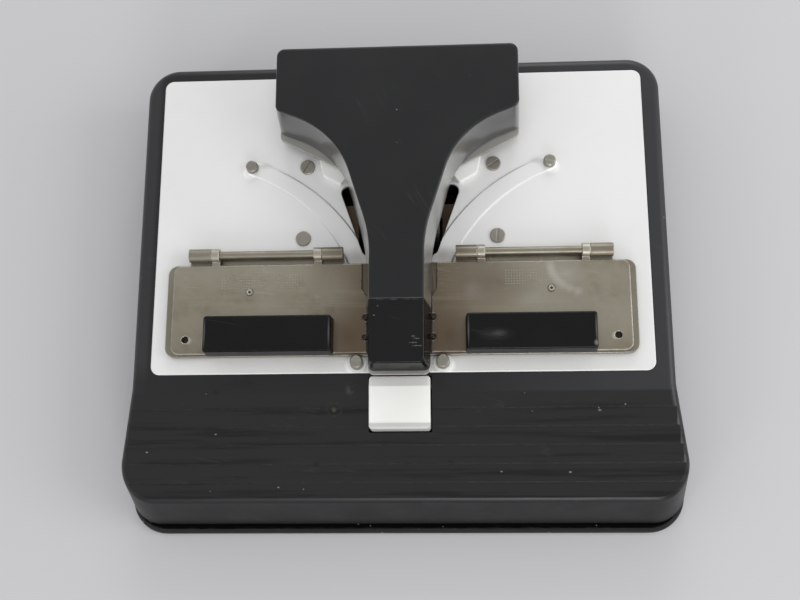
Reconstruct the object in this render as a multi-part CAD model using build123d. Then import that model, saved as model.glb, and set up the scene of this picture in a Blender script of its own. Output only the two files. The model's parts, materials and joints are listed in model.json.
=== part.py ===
from build123d import *
import math
import os

# Motor film splicer. Sizes are millimetres. Every piece is drawn about the centre of the
# deck's top face (X to the right, Y to the rear, Z up) and moved to the base frame when
# it is written, where the origin is the middle of the base at the table.

# --- deck plate ---
deck_width = 180.0
deck_depth = 114.0
deck_thick = 1.5
deck_corner = 3.2
deck_height = 34.0          # deck top above the table
rail_height = 0.6           # raised arc rails
rail_edge = 0.45            # chamfer along the rails
rail_back = 2.7             # rail's rear edge beyond the rear pin's circle
rail_front_narrow = 3.0     # its front edge inside that circle at the rear pin
rail_front_wide = 5.6       # and near the arm, where the rail is widest
window_behind = 9.4         # window under the arm's waist, behind the spindle
window_ahead = 18.0         # and in front of it
window_half_rear = 22.9
window_half_front = 13.3
window_corner = 2.8

# --- base shell and tray ---
rear_border = 6.2           # base behind the deck, at the seam
side_border = 8.0
palm_length = 54.8          # base in front of the deck, at the table
flare_behind = 5.0          # the sides flare out from this far in front of the deck
flare_slope = 0.15
base_wall = 2.5
base_corner_rear = 12.0
base_corner_front = 12.5
flare_round = 12.0          # radius of the sides' bend there
base_side_draft = 1.2       # the sides draw in by this much up to the rim
base_rear_draft = 0.9
base_front_lean = 9.6       # the front leans back by this much up to the rim
rim_drop = 0.4              # rim below the deck's top
rim_round = 3.0
tray_height = 5.0           # seam above the table
foot_height = 1.2
foot_radius = 7.0
foot_recess = 0.8
tray_floor = 2.0
tray_flange = 1.5           # flange round the tray's foot
tray_front_step = 3.4       # the flange stands this far in front of the shell
tray_band_step = 1.6        # and this far in front of the tray's band
tray_inset = 0.5            # the flange stands in by this much at the sides
tray_corner = 14.0
shadow_gap = 0.9            # open line under the shell
seat_inset = 1.0            # ring that the shell sits on
foot_front = (69.2, 19.8)   # right-hand feet: X, and Y from the base's front
foot_rear = (73.2, 14.7)    # and from its rear
lip_thick = 1.8
lip_height = 3.0
lip_gap = 0.5               # the lip stands this far inside the shell
palm_behind = 6.8           # the palm rest starts to fall this far before the deck
palm_fall = 11.7            # degrees
palm_crease = 4.0           # radius where the level rim turns into the palm rest
rib_behind = 5.6            # first rib's riser in front of the crease
rib_pitch = 6.4
rib_count = 5
rib_depth = 0.5
ledge = 6.0                 # the shell's ledge that the deck lies on
pillar_radius = 3.6
boss_height = 2.8           # the tray's bosses under the pillars
pillar_border = 11.8        # pillars from the shell's side
pillar_front = 27.8         # from the base's front
pillar_rear = 12.7          # from its rear

# --- fits ---
turn_gap = 0.05             # radial gap of what turns on a pin
seat_gap = 0.02             # radial gap of what is pressed in
panel_gap = 0.2             # sheet or moulding dropped into a recess
slide_gap = 0.25            # battery door in its grooves
key_gap = 0.45              # key in its window

# --- carriers ---
carrier_border = 5.8        # deck beyond the carriers, at the sides and the front
carrier_depth = 33.8
carrier_low = 1.0           # underside of the lower plate above the deck
carrier_thick = 2.0
carrier_inner = 4.0
carrier_corner = 3.5
pivot_inset = 7.4           # pivot from the carrier's outer end
pivot_front = 6.1           # and from its front edge
carrier_tip = 0.7           # the inner end is round, this far past its front corner
clamp_thick = 1.2
clamp_gap = 0.1             # film space
clamp_border = 2.2          # lower plate beyond the clamp at the outer end
clamp_margin = 0.6          # and at the front
clamp_inner = 11.5
clamp_shoulder = 13.4       # inner end behind the shoulder, clear of the arm's neck
shoulder_depth = 9.5
hinge_behind = 3.3          # hinge axis behind the lower plate
hinge_z = 4.6
hinge_inset = 8.0           # hinge's outer end from the carrier's
hinge_inner = 20.3
knuckle_outer = 8.1         # width of the outer rolled knuckle
knuckle_inner = 7.6
collar_width = 2.8
knuckle_radius = 2.45
rod_radius = 1.45
grip_inner = 23.4
grip_inset = 12.7           # grip's outer end from the clamp's
grip_depth = 13.6
grip_height = 6.2
rivet_x = 54.0
rivet_behind = 23.3         # rivet behind the lower plate's front
film_pin_x = 11.9
film_pin_radius = 0.65
film_pin_notch = 1.3        # notch in the clamp round each pin
film_behind = 9.8           # middle of the film behind the lower plate's front
film_pin_spacing = 7.2
stud_radius = 3.0
stud_head = 4.2
stud_shoulder = 5.0
stud_rivet = 2.5
stud_rivet_head = 4.0

# --- stops and screws on the deck ---
rear_pin_radius = 2.2
rear_pin_inset = 7.3        # the pins' circle round the pivot ends this far from the middle
rear_pin_turn = 71.8        # degrees round the pivot from the inner side
front_pin_x = 15.3
front_pin_radius = 2.3
front_pin_height = 4.4
screw_head_radius = 2.75
screw_rear_out = 8.85       # rear screws outside the rear pins' circle
screw_rear_turn = 57.3
screw_front_in = 13.25      # front screws inside it
screw_front_turn = 42.8
guide_height = 2.6
guide_points = ((30.0, 69.6), (29.6, 66.8), (28.4, 61.9), (21.9, 58.2), (19.6, 61.1),
                (19.6, 69.6))       # Y from the pivot, so that they clear the rails

# --- press arm ---
arm_axis_inset = 5.0        # hinge axis in front of the deck's rear edge
arm_axis_z = 8.0
arm_plate_low = 4.4
arm_plate_thick = 1.0
arm_top = 21.0
arm_wall = 2.0
head_half = 43.6
head_overhang = 7.0         # head's rear face behind the hinge axis
head_front = 35.2
head_corner = 3.0
neck_start = (36.0, 32.2)   # flank of the head at the top: end of the straight part
neck_waist = (16.9, 11.4)
neck_foot = (11.7, -4.9)
neck_straight = -18.0       # the arm's sides run straight from here to the tip
neck_spreads = (3.0, 1.7, 2.5, 2.3)     # how far the foot of the wall stands out there
arm_half = 9.5
tip_overhang = 0.3          # tip of the arm in front of the deck
tip_spread = 1.4
tip_corner = 2.2
plate_overhang = 1.3        # lever plate in front of the tip
arm_seam = 22.2             # seam of the tip cap behind the tip
seam_gap = 0.2              # open line at that seam
arm_edge_round = 0.8
skirt_gap = 0.7             # open line between the head's skirt and the lever plate
hinge_pin_radius = 2.0
ear_radius = 3.5
bracket_ear_x = 30.0        # inner face of the bracket's ears
bracket_ear_thick = 1.5
bracket_thick = 1.0
plate_ear_x = 28.0
washer_thick = 0.3

# --- motor and abrasive wheels ---
motor_ahead = 32.0          # spindle in front of the cells' middle
motor_z = -10.5
motor_radius = 9.5
motor_half = 9.0
spindle_radius = 1.5
bush_radius = 3.0
bush_flange = 3.8
wheel_radius = 13.0
wheel_inner = 11.5
wheel_thick = 3.0
channel_half = 23.6         # inner face of the motor channel's webs
channel_thick = 1.5
channel_depth = 26.0
channel_ahead = 14.0        # channel in front of the spindle
channel_behind = 13.5
flange_border = 6.5         # flange past the rear screws
shield_low = -6.0           # shelves that keep dust off the spindle
shield_behind = 3.0
shield_gap = 1.0            # from the wheels

# --- key ---
key_half = 10.75
key_behind = 1.6            # gap from the deck to the key
key_length = 18.7
key_top = 4.0
key_corner = 1.2
key_step = 2.4              # top of its rear end
key_slope = 3.8             # length of the sloping rear strip
key_fall = 0.9              # the top falls by this much to the front lip
key_lip = 2.6               # width of the front lip
key_nose = 1.4              # its rounded nose below the top
key_fold_round = 0.35
key_edge_round = 0.3
key_axis_in = 2.6           # pin in front of the key's rear end
key_axis_z = -4.5
key_pin_radius = 1.0
well_floor = -14.0
well_wall = 2.0
key_low = -6.5              # lower edge of the key's skirt
key_wall = 1.6
spring_in = 10.9            # return spring in front of the key's rear end
spring_radius = 2.0
spring_wire = 0.3
spring_top = -3.4           # the boss that the spring presses on
switch_height = 5.0

# --- batteries ---
cell_radius = 7.1
cell_length = 49.2
cell_nub = 1.2
cell_nub_radius = 2.7
cell_gap = 0.3
cells_inset = 27.2          # middle of the cells from the base's rear
box_wall = 2.0
spring_room = 4.56          # between each row's flat end and the box
contact_thick = 0.4
door_thick = 1.8
door_rear_lip = 1.8
groove_height = 1.1         # grooves in the tray for the door's tongues
groove_depth = 1.5
groove_rise = 0.6           # groove above the tray's underside

# --- worked out ---
table = -deck_height
seam = table + tray_height
rim = -rim_drop
base_rear = deck_depth / 2 + rear_border
base_front = -deck_depth / 2 - palm_length
shell_front = base_front + tray_front_step
shell_half = deck_width / 2 + side_border
flare_start = -deck_depth / 2 - flare_behind
palm_start = -deck_depth / 2 - palm_behind
rib_first = palm_start - rib_behind
pillar_spots = ((shell_half - pillar_border, base_front + pillar_front),
                (shell_half - pillar_border, base_rear - pillar_rear))
tray_low = table + foot_height
tray_top = tray_low + tray_floor
groove_low = tray_low + groove_rise
carrier_outer = deck_width / 2 - carrier_border
carrier_front = -deck_depth / 2 + carrier_border
carrier_rear = carrier_front + carrier_depth
carrier_top = carrier_low + carrier_thick
pivot_x = carrier_outer - pivot_inset
pivot_y = carrier_front + pivot_front
rear_pin_circle = pivot_x - rear_pin_inset
carrier_swing = math.hypot(pivot_x - carrier_inner, pivot_front) + carrier_tip
clamp_low = carrier_top + clamp_gap
clamp_top = clamp_low + clamp_thick
clamp_outer = carrier_outer - clamp_border
clamp_front = carrier_front + clamp_margin
clamp_rear = carrier_rear - clamp_margin / 2
hinge_y = carrier_rear + hinge_behind
hinge_outer = carrier_outer - hinge_inset
grip_outer = clamp_outer - grip_inset
grip_front = carrier_front + 0.1
grip_rear = grip_front + grip_depth
rivet_y = carrier_front + rivet_behind
film_line = carrier_front + film_behind
arm_foot = arm_plate_low + arm_plate_thick
arm_axis_y = deck_depth / 2 - arm_axis_inset
head_rear = arm_axis_y + head_overhang
arm_tip = -deck_depth / 2 - tip_overhang
tip_seam = arm_tip + arm_seam
key_rear = -deck_depth / 2 - key_behind
key_front = key_rear - key_length
key_axis_y = key_rear - key_axis_in
spring_y = key_rear - spring_in
leaf_front = key_front + 1.2
cells_y = base_rear - cells_inset
motor_y = cells_y - motor_ahead
window_rear = motor_y + window_behind
window_front = motor_y - window_ahead
channel_front = motor_y - channel_ahead
channel_rear = motor_y + channel_behind
cell_z = tray_top + 0.5 + cell_radius
cell_pitch = 2 * cell_radius + cell_gap
cell_step = cell_length + cell_nub + seat_gap
box_half = cell_step + spring_room
box_half_depth = cell_pitch / 2 + cell_radius + cell_gap
box_top = cell_z + cell_radius + cell_gap
far = deck_width + deck_depth       # past every face, for cuts
place = Pos(0, (palm_length - rear_border) / 2, deck_height)


def face_of(points):
    return make_face(Polyline(*points, close=True))


def slab(points, low, high):
    return extrude(Pos(0, 0, low) * face_of(points), amount=high - low)


def block(x0, x1, y0, y1, z0, z1):
    centre = ((x0 + x1) / 2, (y0 + y1) / 2, (z0 + z1) / 2)
    return Pos(*centre) * Box(x1 - x0, y1 - y0, z1 - z0)


def post(x, y, low, high, radius):
    return Pos(x, y, (low + high) / 2) * Cylinder(radius, high - low)


def bar(x0, x1, y, z, radius):
    return Pos((x0 + x1) / 2, y, z) * Rot(0, 90, 0) * Cylinder(radius, x1 - x0)


def side_cut(points, half):
    """A profile in the Y-Z plane, as wide as twice half along X."""
    return extrude(Plane.YZ * face_of(points), amount=half, both=True)


def other_side(piece):
    return mirror(piece, about=Plane.YZ)


def both_sides(piece):
    return piece + other_side(piece)


def upright_edges(solid, height):
    return [e for e in solid.edges() if e.bounding_box().size.Z > 0.9 * height]


# ---------------------------------------------------------------- base shell and tray
def flared_outline(half, rear, front):
    """Half width behind the flare, and the outline's rear and front ends."""
    half_front = half + flare_slope * (flare_start - front)
    right = [(half, rear), (half, flare_start), (half_front, front)]
    left = [(-x, y) for x, y in reversed(right)]
    return right + left


def base_points(z, inset):
    rise = (z - seam) / (rim - seam)
    half = shell_half - base_side_draft * rise - inset
    rear = base_rear - base_rear_draft * rise - inset
    front = shell_front + base_front_lean * rise + inset
    return flared_outline(half, rear, front)


def base_block(low, high, inset):
    foot = Pos(0, 0, low) * face_of(base_points(low, inset))
    top = Pos(0, 0, high) * face_of(base_points(high, inset))
    solid = loft([foot, top], ruled=True)
    rounds = ((base_rear, base_corner_rear - inset), (shell_front, base_corner_front - inset),
              (flare_start, flare_round))
    for y, radius in rounds:
        near = base_corner_rear if y != flare_start else 0.1
        tall = upright_edges(solid, high - low)
        solid = fillet([e for e in tall if abs(e.center().Y - y) < near], radius)
    return solid


def tray_plate(inset, front, low, high):
    """The tray's outline as a plate with upright sides."""
    outline = face_of(flared_outline(shell_half - inset, base_rear - inset, front))
    rear = outline.vertices().group_by(Axis.Y)[-1]
    outline = fillet(rear, base_corner_rear - inset)
    corners = outline.vertices().group_by(Axis.Y)[0]
    outline = fillet(corners, tray_corner - inset)
    return extrude(Pos(0, 0, low) * outline, amount=high - low)


def palm_z(y, drop=0.0):
    fall = math.tan(math.radians(palm_fall)) * (palm_start - y)
    return rim - drop - max(0.0, fall)


def above_palm(drop=0.0):
    far = base_front - 20
    points = [(palm_start, palm_z(palm_start, drop)), (far, palm_z(far, drop)),
              (far, 30), (palm_start, 30)]
    return side_cut(points, 2 * shell_half)


def rib_step(y):
    rear_low = palm_z(y) - rib_depth
    front = y - rib_pitch
    points = [(y, rear_low), (front, palm_z(front)), (front, palm_z(front) + 2),
              (y, palm_z(y) + 2)]
    return side_cut(points, 2 * shell_half)


def outline_edges(faces):
    """The edges that belong to only one of the faces."""
    edges = [e for f in faces for e in f.edges()]
    centres = [tuple(round(v, 2) for v in e.center()) for e in edges]
    return [e for e, centre in zip(edges, centres) if centres.count(centre) == 1]


def base_outside():
    solid = base_block(seam, rim, 0) - above_palm()
    crease = [e for e in solid.edges().filter_by(Axis.X)
              if abs(e.center().Y - palm_start) < 0.1 and abs(e.center().Z - rim) < 0.1]
    solid = fillet(crease, palm_crease)
    tops = [f for f in solid.faces() if f.normal_at().Z > 0.9]
    return fillet(outline_edges(tops), rim_round)


def key_well():
    half = key_half + key_gap + well_wall
    front = key_front - key_gap - well_wall
    rear = -deck_depth / 2 + 1.0
    outer = block(-half, half, front, rear, well_floor - well_wall, rim - base_wall)
    return outer


def key_window():
    half = key_half + key_gap
    front = key_front - key_gap
    rear = key_rear + key_gap
    return block(-half, half, front, rear, well_floor, 10)


def pillars():
    solid = None
    for x, y in pillar_spots:
        top = min(rim - base_wall, palm_z(y, base_wall)) + 0.6
        right = post(x, y, tray_top + boss_height, top, pillar_radius)
        pair = both_sides(right)
        solid = pair if solid is None else solid + pair
    return solid


def pilot_holes(low, high, radius):
    front, rear = pillar_spots
    return both_sides(post(*front, low, high, radius) + post(*rear, low, high, radius))


def base_housing():
    outside = base_outside()
    inside = base_block(seam, rim - base_wall, base_wall) - above_palm(base_wall)
    shell = outside - inside
    shell += key_well() & outside
    shell += pillars()
    recess = RectangleRounded(deck_width + 2 * panel_gap, deck_depth + 2 * panel_gap,
                              deck_corner + panel_gap)
    shell -= extrude(Pos(0, 0, -deck_thick) * recess, amount=10)
    opening = RectangleRounded(deck_width - 2 * ledge, deck_depth - 2 * ledge, deck_corner)
    shell -= extrude(Pos(0, 0, -deck_thick - base_wall) * opening, amount=10)
    shell -= key_window()
    pin_half = key_half + key_gap + well_wall + 1
    shell -= bar(-pin_half, pin_half, key_axis_y, key_axis_z, key_pin_radius + seat_gap)
    shell -= pilot_holes(table, tray_top + 13, 1.3)
    for n in range(rib_count):
        shell -= rib_step(rib_first - n * rib_pitch)
    return shell


def tray_cutout():
    half = box_half
    rails = block(-half, half, cells_y - box_half_depth, base_rear + 5, table, tray_top)
    grooves = block(-half - groove_depth, half + groove_depth, cells_y - box_half_depth,
                    base_rear + 5, groove_low, groove_low + groove_height)
    band = block(-half, half, cells_y + box_half_depth + box_wall + 1, base_rear + 5,
                 table, seam + lip_height + 1)
    return rails + grooves + band


def base_tray():
    lip_top = seam + lip_height
    lip_inset = base_wall + lip_gap
    band_front = base_front + tray_band_step
    seat_front = shell_front + seat_inset
    lip_front = shell_front + lip_inset + base_front_lean * lip_height / (rim - seam)
    flange = tray_plate(tray_inset, base_front, tray_low, tray_low + tray_flange)
    flange = chamfer(flange.faces().sort_by(Axis.Z)[-1].edges(), 0.4)
    band = tray_plate(tray_inset + 0.6, band_front, tray_low, seam - shadow_gap)
    band = chamfer(band.faces().sort_by(Axis.Z)[-1].edges(), 0.3)
    seat = tray_plate(base_side_draft + seat_inset, seat_front, tray_low, seam)
    lip = tray_plate(lip_inset, lip_front, tray_low, lip_top)
    inside = tray_plate(lip_inset + lip_thick, lip_front + lip_thick, tray_top, lip_top + 1)
    tray = flange + band + seat + lip - inside
    front, rear = pillar_spots
    boss_top = tray_top + boss_height
    bosses = both_sides(post(*front, tray_low, boss_top, 5.0) + post(*rear, tray_low, boss_top, 5.0))
    tray += bosses & tray_plate(lip_inset, lip_front, tray_low, lip_top)
    tray -= pilot_holes(table, tray_top + 1.0, 3.3)
    tray -= pilot_holes(table, tray_top + 5.0, 1.7)
    tray -= foot_posts(table, tray_low + foot_recess, foot_radius + seat_gap)
    return tray - tray_cutout()


def foot_posts(low, high, radius):
    front = post(foot_front[0], base_front + foot_front[1], low, high, radius)
    rear = post(foot_rear[0], base_rear - foot_rear[1], low, high, radius)
    return both_sides(front + rear)


def rubber_feet():
    return foot_posts(table, tray_low + foot_recess, foot_radius)


def tray_screws():
    right = None
    for x, y in pillar_spots:
        head = post(x, y, tray_top - 0.9, tray_top + 1.0, 3.0)
        slot = block(x - 4, x + 4, y - 0.4, y + 0.4, tray_top - 2, tray_top - 0.3)
        screw = head - slot + post(x, y, tray_top + 1.0, tray_top + 12, 1.25)
        right = screw if right is None else right + screw
    return both_sides(right)


# ---------------------------------------------------------------- battery compartment
def battery_box():
    half = box_half + box_wall
    depth = box_half_depth + box_wall
    outer = block(-half, half, cells_y - depth, cells_y + depth, tray_top, box_top + box_wall)
    inner = block(-box_half, box_half, cells_y - box_half_depth, cells_y + box_half_depth,
                  tray_top - 1, box_top)
    outer = fillet(outer.edges().group_by(Axis.Z)[-1], 1.0)
    ribs = None
    for share in (-0.65, -0.22, 0.22, 0.65):
        x = share * box_half
        rib = block(x - 0.8, x + 0.8, cells_y - depth + 2, cells_y + depth - 2,
                    box_top + box_wall, box_top + box_wall + 1.2)
        ribs = rib if ribs is None else ribs + rib
    return outer - inner + ribs


def battery_cells():
    cells = None
    for row in (-1, 1):
        y = cells_y + row * cell_pitch / 2
        for start in (-cell_step + seat_gap / 2, seat_gap / 2):
            end = start + cell_length + cell_nub
            if row < 0:
                can = bar(start, end - cell_nub, y, cell_z, cell_radius)
                nub = bar(end - cell_nub, end, y, cell_z, cell_nub_radius)
            else:
                can = bar(start + cell_nub, end, y, cell_z, cell_radius)
                nub = bar(start, start + cell_nub, y, cell_z, cell_nub_radius)
            rounded = fillet(can.edges(), 0.5) + nub
            cells = rounded if cells is None else cells + rounded
    return cells


def battery_contacts():
    """Plates at both ends; each row's nub end has a raised button."""
    low = tray_top + 1.0
    solids = None
    for row in (-1, 1):
        y = cells_y + row * cell_pitch / 2
        for side in (-1, 1):
            face = side * (box_half - seat_gap)
            inner = side * (box_half - seat_gap - contact_thick)
            plate = block(min(face, inner), max(face, inner), y - 5.5, y + 5.5, low,
                          box_top - 0.6)
            if side * row < 0:
                end = side * cell_step
                plate += bar(min(end, inner), max(end, inner), y, cell_z, 3.2)
            solids = plate if solids is None else solids + plate
    return solids


def battery_springs():
    """Short coil at each row's flat end."""
    length = box_half - seat_gap - contact_thick - cell_step
    coils = None
    for row in (-1, 1):
        y = cells_y + row * cell_pitch / 2
        wire = 0.35
        path = Helix(pitch=(length - 2 * wire) / 2, height=length - 2 * wire, radius=3.6)
        coil = sweep(Plane(path @ 0, z_dir=path % 0) * Circle(wire), path=path, is_frenet=True)
        x = row * (cell_step + wire)
        coil = Pos(x, y, cell_z) * Rot(0, 90 * row, 0) * coil
        coils = coil if coils is None else coils + coil
    return coils


def battery_door():
    half = box_half - slide_gap
    front = cells_y - box_half_depth + slide_gap
    low = tray_low + 0.1
    rear = base_rear - tray_inset
    panel = block(-half, half, front, rear, low, low + door_thick)
    tongue_half = half + groove_depth - slide_gap
    tongues = block(-tongue_half, tongue_half, front, base_rear - base_corner_rear / 2,
                    groove_low + slide_gap / 2, groove_low + groove_height - slide_gap / 2)
    lip = block(-half, half, rear - door_rear_lip, rear, low, seam - shadow_gap)
    door = panel + tongues + lip
    for n in range(5):
        y = cells_y + 8 + n * 2.4
        door -= block(-14, 14, y - 0.6, y + 0.6, low - 1, low + 0.5)
    return door


# ---------------------------------------------------------------- deck and what stands on it
def round_pivot(radius, turn):
    """A point round the right carrier's pivot; the turn is from its inner side."""
    angle = math.radians(180 - turn)
    return (pivot_x + radius * math.cos(angle), pivot_y + radius * math.sin(angle))


def rail():
    """Widens from the rear pin towards the arm; its end is round behind the pin."""
    start, middle, end = 14.0, 42.0, rear_pin_turn
    outer = rear_pin_circle + rail_back
    front = [(rear_pin_circle - rail_front_wide, start),
             (rear_pin_circle - (rail_front_wide + rail_front_narrow) / 2, middle),
             (rear_pin_circle - rail_front_narrow, end)]
    inner = [round_pivot(radius, turn) for radius, turn in front]
    cap = round_pivot(rear_pin_circle, end + math.degrees(rail_back / rear_pin_circle))
    lines = [ThreePointArc(round_pivot(outer, start), round_pivot(outer, middle),
                           round_pivot(outer, end)),
             ThreePointArc(round_pivot(outer, end), cap, inner[2]),
             ThreePointArc(inner[2], inner[1], inner[0]),
             Line(inner[0], round_pivot(outer, start))]
    raised = extrude(make_face(Curve() + lines), amount=rail_height)
    return chamfer(raised.faces().sort_by(Axis.Z)[-1].edges(), rail_edge)


def rear_pin_spot():
    return round_pivot(rear_pin_circle, rear_pin_turn)


def screw_spots():
    """Centres of the right side's rear and front deck screws."""
    return [round_pivot(rear_pin_circle + screw_rear_out, screw_rear_turn),
            round_pivot(rear_pin_circle - screw_front_in, screw_front_turn)]


def window_points():
    return [(window_half_rear, window_rear), (window_half_front, window_front),
            (-window_half_front, window_front), (-window_half_rear, window_rear)]


def deck_plate():
    sheet = RectangleRounded(deck_width, deck_depth, deck_corner)
    deck = extrude(Pos(0, 0, -deck_thick) * sheet, amount=deck_thick)
    deck = chamfer(deck.faces().sort_by(Axis.Z)[-1].edges(), 0.25)
    deck += both_sides(rail())
    window = slab(window_points(), -5, 5)
    window = fillet(upright_edges(window, 10), window_corner)
    deck -= window
    x, y = rear_pin_spot()
    holes = post(x, y, -5, 5, 1.5 + seat_gap)
    holes += post(x, y, 0, 5, rear_pin_radius + seat_gap)
    holes += post(front_pin_x, front_pin_y(), -5, 5, 1.5 + seat_gap)
    holes += post(pivot_x, pivot_y, -5, 5, stud_rivet + seat_gap)
    for spot in screw_spots():
        holes += post(*spot, -5, 5, 1.5)
    for spot in bracket_spots():
        holes += post(*spot, -5, 5, 1.5)
    return deck - both_sides(holes)


def front_pin_y():
    return carrier_front - front_pin_radius - turn_gap


def stop_pin(x, y, radius, height):
    pin = post(x, y, 0, height, radius)
    pin = chamfer(pin.edges().group_by(Axis.Z)[-1], 0.3)
    return pin + post(x, y, -deck_thick, 0, 1.5)


def rear_stop_pins():
    return both_sides(stop_pin(*rear_pin_spot(), rear_pin_radius, carrier_top - 0.1))


def front_stop_pins():
    return both_sides(stop_pin(front_pin_x, front_pin_y(), front_pin_radius, front_pin_height))


def pin_washers():
    x, y = front_pin_x, front_pin_y()
    ring = post(x, y, 0, 0.5, 3.5) - post(x, y, -1, 2, front_pin_radius + seat_gap)
    return both_sides(ring)


def slotted_screw(x, y, low, turn, radius, head, depth):
    top = post(x, y, low, low + head, radius)
    top = chamfer(top.edges().group_by(Axis.Z)[-1], 0.2)
    if turn is not None:
        cut = Pos(x, y, low + head) * Rot(0, 0, turn) * Box(2 * radius + 2, 0.7, head)
        top -= cut
    return top + post(x, y, low - depth, low, 1.4)


def deck_screws():
    rear, front = screw_spots()
    turns = {(1, rear): 35, (1, front): 85, (-1, rear): 60, (-1, front): None}
    screws = None
    for (side, (x, y)), turn in turns.items():
        screw = slotted_screw(side * x, y, 0, turn, screw_head_radius, 0.8, 4.5)
        screws = screw if screws is None else screws + screw
    return screws


def splice_anvil():
    front = film_line - 6.5
    rear = film_line + 6.5
    anvil = block(-11, 11, front, rear, 0, carrier_low - 0.1)
    return chamfer(anvil.edges().group_by(Axis.Z)[-1], 0.3)


def dust_guides():
    guide = slab([(x, pivot_y + y) for x, y in guide_points], 0, guide_height)
    guide = fillet(upright_edges(guide, guide_height), 0.9)
    guide = fillet(guide.edges().group_by(Axis.Z)[-1], 0.3)
    return both_sides(guide)


# ---------------------------------------------------------------- film carriers
def carrier_pivots():
    shoulder = post(pivot_x, pivot_y, 0, carrier_low, stud_shoulder)
    neck = post(pivot_x, pivot_y, carrier_low, carrier_top, stud_radius)
    head = post(pivot_x, pivot_y, carrier_top - 0.8, carrier_top, stud_head)
    rivet = post(pivot_x, pivot_y, -deck_thick, 0, stud_rivet)
    rivet += post(pivot_x, pivot_y, -deck_thick - 1.0, -deck_thick, stud_rivet_head)
    return both_sides(shoulder + neck + head + rivet)


def knuckle(x0, x1, bore):
    roll = bar(x0, x1, hinge_y, hinge_z, knuckle_radius)
    tab = block(x0, x1, carrier_rear - 1.0, hinge_y + 0.4, carrier_low, carrier_top)
    return roll + tab - bar(x0 - 1, x1 + 1, hinge_y, hinge_z, bore)


def film_pin_spots():
    half = film_pin_spacing / 2
    return [(film_pin_x, film_line - half), (film_pin_x, film_line + half)]


def carrier_plate():
    points = [(carrier_inner, carrier_front), (carrier_outer, carrier_front),
              (carrier_outer, carrier_rear), (carrier_inner, carrier_rear)]
    plate = slab(points, carrier_low, carrier_top)
    outer = [e for e in upright_edges(plate, carrier_thick) if e.center().X > pivot_x]
    plate = fillet(outer, carrier_corner)
    plate &= post(pivot_x, pivot_y, 0, 10, carrier_swing)
    plate += knuckle(hinge_outer - knuckle_outer, hinge_outer, rod_radius + seat_gap)
    plate += knuckle(hinge_inner, hinge_inner + knuckle_inner, rod_radius + seat_gap)
    plate -= post(pivot_x, pivot_y, 0, 10, stud_radius + turn_gap)
    plate -= post(pivot_x, pivot_y, carrier_top - 0.85, 10, stud_head + turn_gap)
    for x, y in film_pin_spots():
        plate -= post(x, y, 0, 10, film_pin_radius + seat_gap)
    return plate


def registration_pins():
    pins = None
    for x, y in film_pin_spots():
        pin = post(x, y, carrier_low, clamp_top - 0.2, film_pin_radius)
        pin = fillet(pin.edges().group_by(Axis.Z)[-1], 0.3)
        pins = pin if pins is None else pins + pin
    return pins


def hinge_rod():
    return bar(hinge_inner + 0.4, hinge_outer - 0.4, hinge_y, hinge_z, rod_radius)


def collar(x0):
    x1 = x0 + collar_width
    ring = bar(x0, x1, hinge_y, hinge_z, knuckle_radius)
    arm = block(x0, x1, clamp_rear - 1.0, hinge_y, clamp_low, clamp_top)
    return ring + arm - bar(x0 - 1, x1 + 1, hinge_y, hinge_z, rod_radius + turn_gap)


def clamp_plate():
    shoulder = clamp_rear - shoulder_depth
    points = [(clamp_inner, clamp_front), (clamp_outer, clamp_front),
              (clamp_outer, clamp_rear), (clamp_shoulder, clamp_rear),
              (clamp_shoulder, shoulder), (clamp_inner, shoulder - 3.0)]
    plate = slab(points, clamp_low, clamp_top)
    outer = [e for e in upright_edges(plate, clamp_thick) if e.center().X > pivot_x]
    plate = fillet(outer, carrier_corner - 0.5)
    plate = chamfer(plate.faces().sort_by(Axis.Z)[-1].edges(), 0.25)
    plate += collar(hinge_outer - knuckle_outer - collar_width - 0.1)
    plate += collar(hinge_inner + knuckle_inner + 0.1)
    plate -= post(pivot_x, pivot_y, 0, 10, 1.3)
    plate -= post(rivet_x, rivet_y, 0, 10, 1.15 + seat_gap)
    for x, y in film_pin_spots():
        plate -= post(x, y, 0, 10, film_pin_notch)
    return plate


def clamp_rivet():
    ring = post(rivet_x, rivet_y, clamp_low, clamp_top + 0.2, 1.15)
    return ring - post(rivet_x, rivet_y, 0, 10, 0.5)


def grip_pad():
    points = [(grip_inner, grip_front), (grip_outer, grip_front), (grip_outer, grip_rear),
              (grip_inner, grip_rear)]
    foot = Pos(0, 0, clamp_top) * face_of(points)
    pad = extrude(foot, amount=grip_height, taper=3)
    pad = fillet(upright_edges(pad, grip_height), 1.0)
    pad = fillet(pad.faces().sort_by(Axis.Z)[-1].edges(), 0.7)
    return pad


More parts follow.
